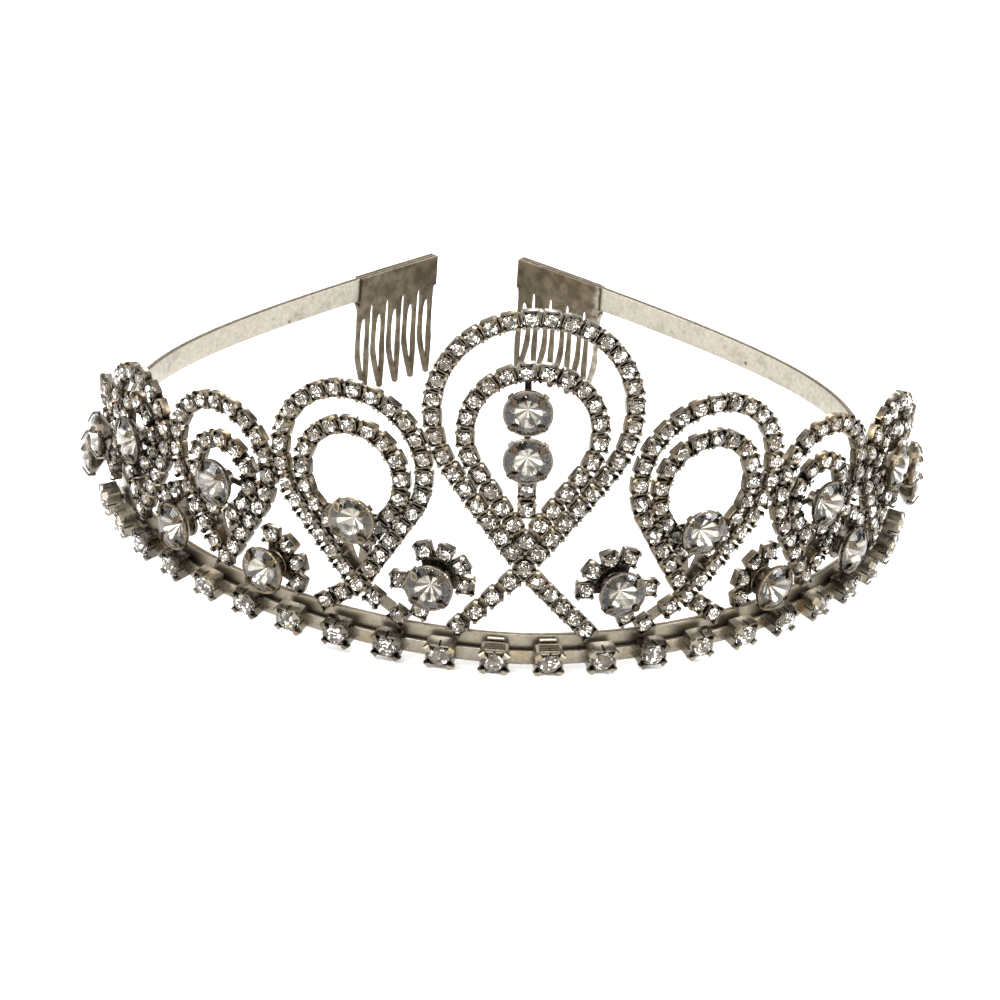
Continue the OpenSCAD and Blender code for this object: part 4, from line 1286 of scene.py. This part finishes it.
class CROWN_OT_flowers(Operator):
    """Makes the three flowers of both sides"""

    bl_idname = "crown.flowers"
    bl_label = "Flowers"

    def execute(self, context):
        for hand, side in SIDES.items():
            for i, name in enumerate(FLOWERS):
                shell = Shell(side, 81 + 10 * i + side)
                flower(shell, name)
                nodes = [f"{hand}_{name}_flower", f"{hand}_{name}_flower_stone"]
                if name != "outer":
                    nodes.append(f"{hand}_{name}_flower_chain_stones")
                shell.finish_piece(f"{hand}_{name}_rosette", nodes)
        return {"FINISHED"}


class CROWN_OT_last_settings(Operator):
    """Makes the last large setting at each end of the panel"""

    bl_idname = "crown.last_settings"
    bl_label = "Last settings"

    def execute(self, context):
        for hand, side in SIDES.items():
            shell = Shell(side, 120 + side)
            stones, back = shell.stones, shell.layout.cup_back
            large_setting(shell, *LAST_STONE, stones.last_lift)
            post = LAST_STONE[1] - shell.layout.low - 2
            front = back + stones.plate_thick + stones.last_lift
            seat = shell.layout.panel_seat(*LAST_STONE)
            shell.bar(seat, (-stones.stud, -post, back), (stones.stud, 0, front), SOFT)
            shell.finish_piece(f"{hand}_end_jewel", [f"{hand}_last_setting", f"{hand}_last_stone"])
        return {"FINISHED"}


# Half of the floor's side, point that the lights face, and the sky's darker and lighter tint
FLOOR_REACH = 3.0
LIGHTS_AIM = (0, 0, 0.02)
SKY_DARK, SKY_LIGHT = (0.24, 0.23, 0.212), (1.92, 1.9, 1.87)
# Square lights as (place, power, side)
LIGHTS = {
    "key": ((-0.5, -0.7, 0.9), 9, 0.35),
    "fill": ((0.8, -0.5, 0.5), 4, 0.3),
    "back": ((0.1, 0.8, 0.8), 7, 0.4),
    "left_side": ((-0.8, -0.25, 0.3), 3.5, 0.4),
    "right_side": ((0.8, -0.25, 0.3), 3.5, 0.4),
    "glint_0": ((-0.25, -0.9, 0.55), 2.0, 0.05),
    "glint_1": ((0.35, -0.8, 0.75), 2.0, 0.05),
    "glint_2": ((0.02, -0.5, 1.0), 2.0, 0.05),
}


class CROWN_OT_stage(Operator):
    """Makes the pale floor, the soft lights and the camera"""

    bl_idname = "crown.stage"
    bl_label = "Stage"

    def execute(self, context):
        studio, scene, reach = sizes("studio"), context.scene, FLOOR_REACH
        mesh = bpy.data.meshes.new("floor")
        corners = [(-reach, -reach, 0), (reach, -reach, 0), (reach, reach, 0), (-reach, reach, 0)]
        mesh.from_pydata(corners, [], [(0, 1, 2, 3)])
        floor = bpy.data.objects.new("floor", mesh)
        scene.collection.objects.link(floor)
        web = new_material("pale_floor")
        tint = web.ramp(web.noise(3, 2), 0.3, 0.7, studio.floor, scaled(studio.floor, 0.99))
        web.shade(Base_Color=tint, Roughness=0.9)
        mesh.materials.append(bpy.data.materials["pale_floor"])
        scene.world = bpy.data.worlds.new("studio")
        scene.world.use_nodes = True
        sky = Web(scene.world.node_tree, "Generated")
        panels = sky.ramp(sky.noise(2.4, 1), 0.44, 0.56, SKY_DARK, SKY_LIGHT)
        sky.fill(sky.tree.nodes["Background"], {"Color": panels, "Strength": studio.sky})
        scene.view_settings.view_transform = "Standard"
        for name, (place, power, wide) in LIGHTS.items():
            data = bpy.data.lights.new(name, "AREA")
            data.energy, data.size = power, wide
            light = bpy.data.objects.new(name, data)
            light.location = place
            facing = Vector(LIGHTS_AIM) - Vector(place)
            light.rotation_euler = facing.to_track_quat("-Z", "Y").to_euler()
            scene.collection.objects.link(light)
        data = bpy.data.cameras.new("camera")
        camera = bpy.data.objects.new("camera", data)
        a, e = studio.yaw, studio.elevation
        back = Vector((math.sin(a) * math.cos(e), -math.cos(a) * math.cos(e), math.sin(e)))
        place = Vector(studio.target) + back * (studio.distance / 1000)
        view = back.to_track_quat("Z", "Y").to_matrix() @ Matrix.Rotation(studio.roll, 3, "Z")
        camera.matrix_world = Matrix.Translation(place) @ view.to_4x4()
        data.angle = studio.lens_angle
        data.clip_start = 0.01
        scene.collection.objects.link(camera)
        scene.camera = camera
        return {"FINISHED"}


class CROWN_PT_sidebar(Panel):
    """Lists the crown's pieces and sizes"""

    bl_idname = "CROWN_PT_sidebar"
    bl_label = "Crown"
    bl_space_type = "VIEW_3D"
    bl_region_type = "UI"
    bl_category = "Crown"

    def draw(self, context):
        for operator in OPERATORS:
            self.layout.operator(operator.bl_idname)
        for key in GROUPS:
            group = getattr(context.scene, key)
            box = self.layout.box()
            box.label(text=key.replace("_", " ").capitalize())
            for name in group.bl_rna.properties.keys():
                if name not in ("rna_type", "name"):
                    box.prop(group, name)


OPERATORS = (
    CROWN_OT_stage,
    CROWN_OT_headband,
    CROWN_OT_rail,
    CROWN_OT_combs,
    CROWN_OT_centre,
    CROWN_OT_motifs,
    CROWN_OT_flowers,
    CROWN_OT_last_settings,
)


def register():
    """Registers the property groups, operators and panel."""
    for group in GROUPS.values():
        bpy.utils.register_class(group)
    for key, group in GROUPS.items():
        setattr(bpy.types.Scene, key, PointerProperty(type=group))
    for cls in (*OPERATORS, CROWN_PT_sidebar):
        bpy.utils.register_class(cls)


def unregister():
    """Takes them away again."""
    for cls in (CROWN_PT_sidebar, *reversed(OPERATORS)):
        bpy.utils.unregister_class(cls)
    for key, group in reversed(GROUPS.items()):
        delattr(bpy.types.Scene, key)
        bpy.utils.unregister_class(group)


def main():
    """Builds every piece in order."""
    register()
    for operator in OPERATORS:
        family, name = operator.bl_idname.split(".")
        getattr(getattr(bpy.ops, family), name)()


if __name__ == "__main__":
    main()
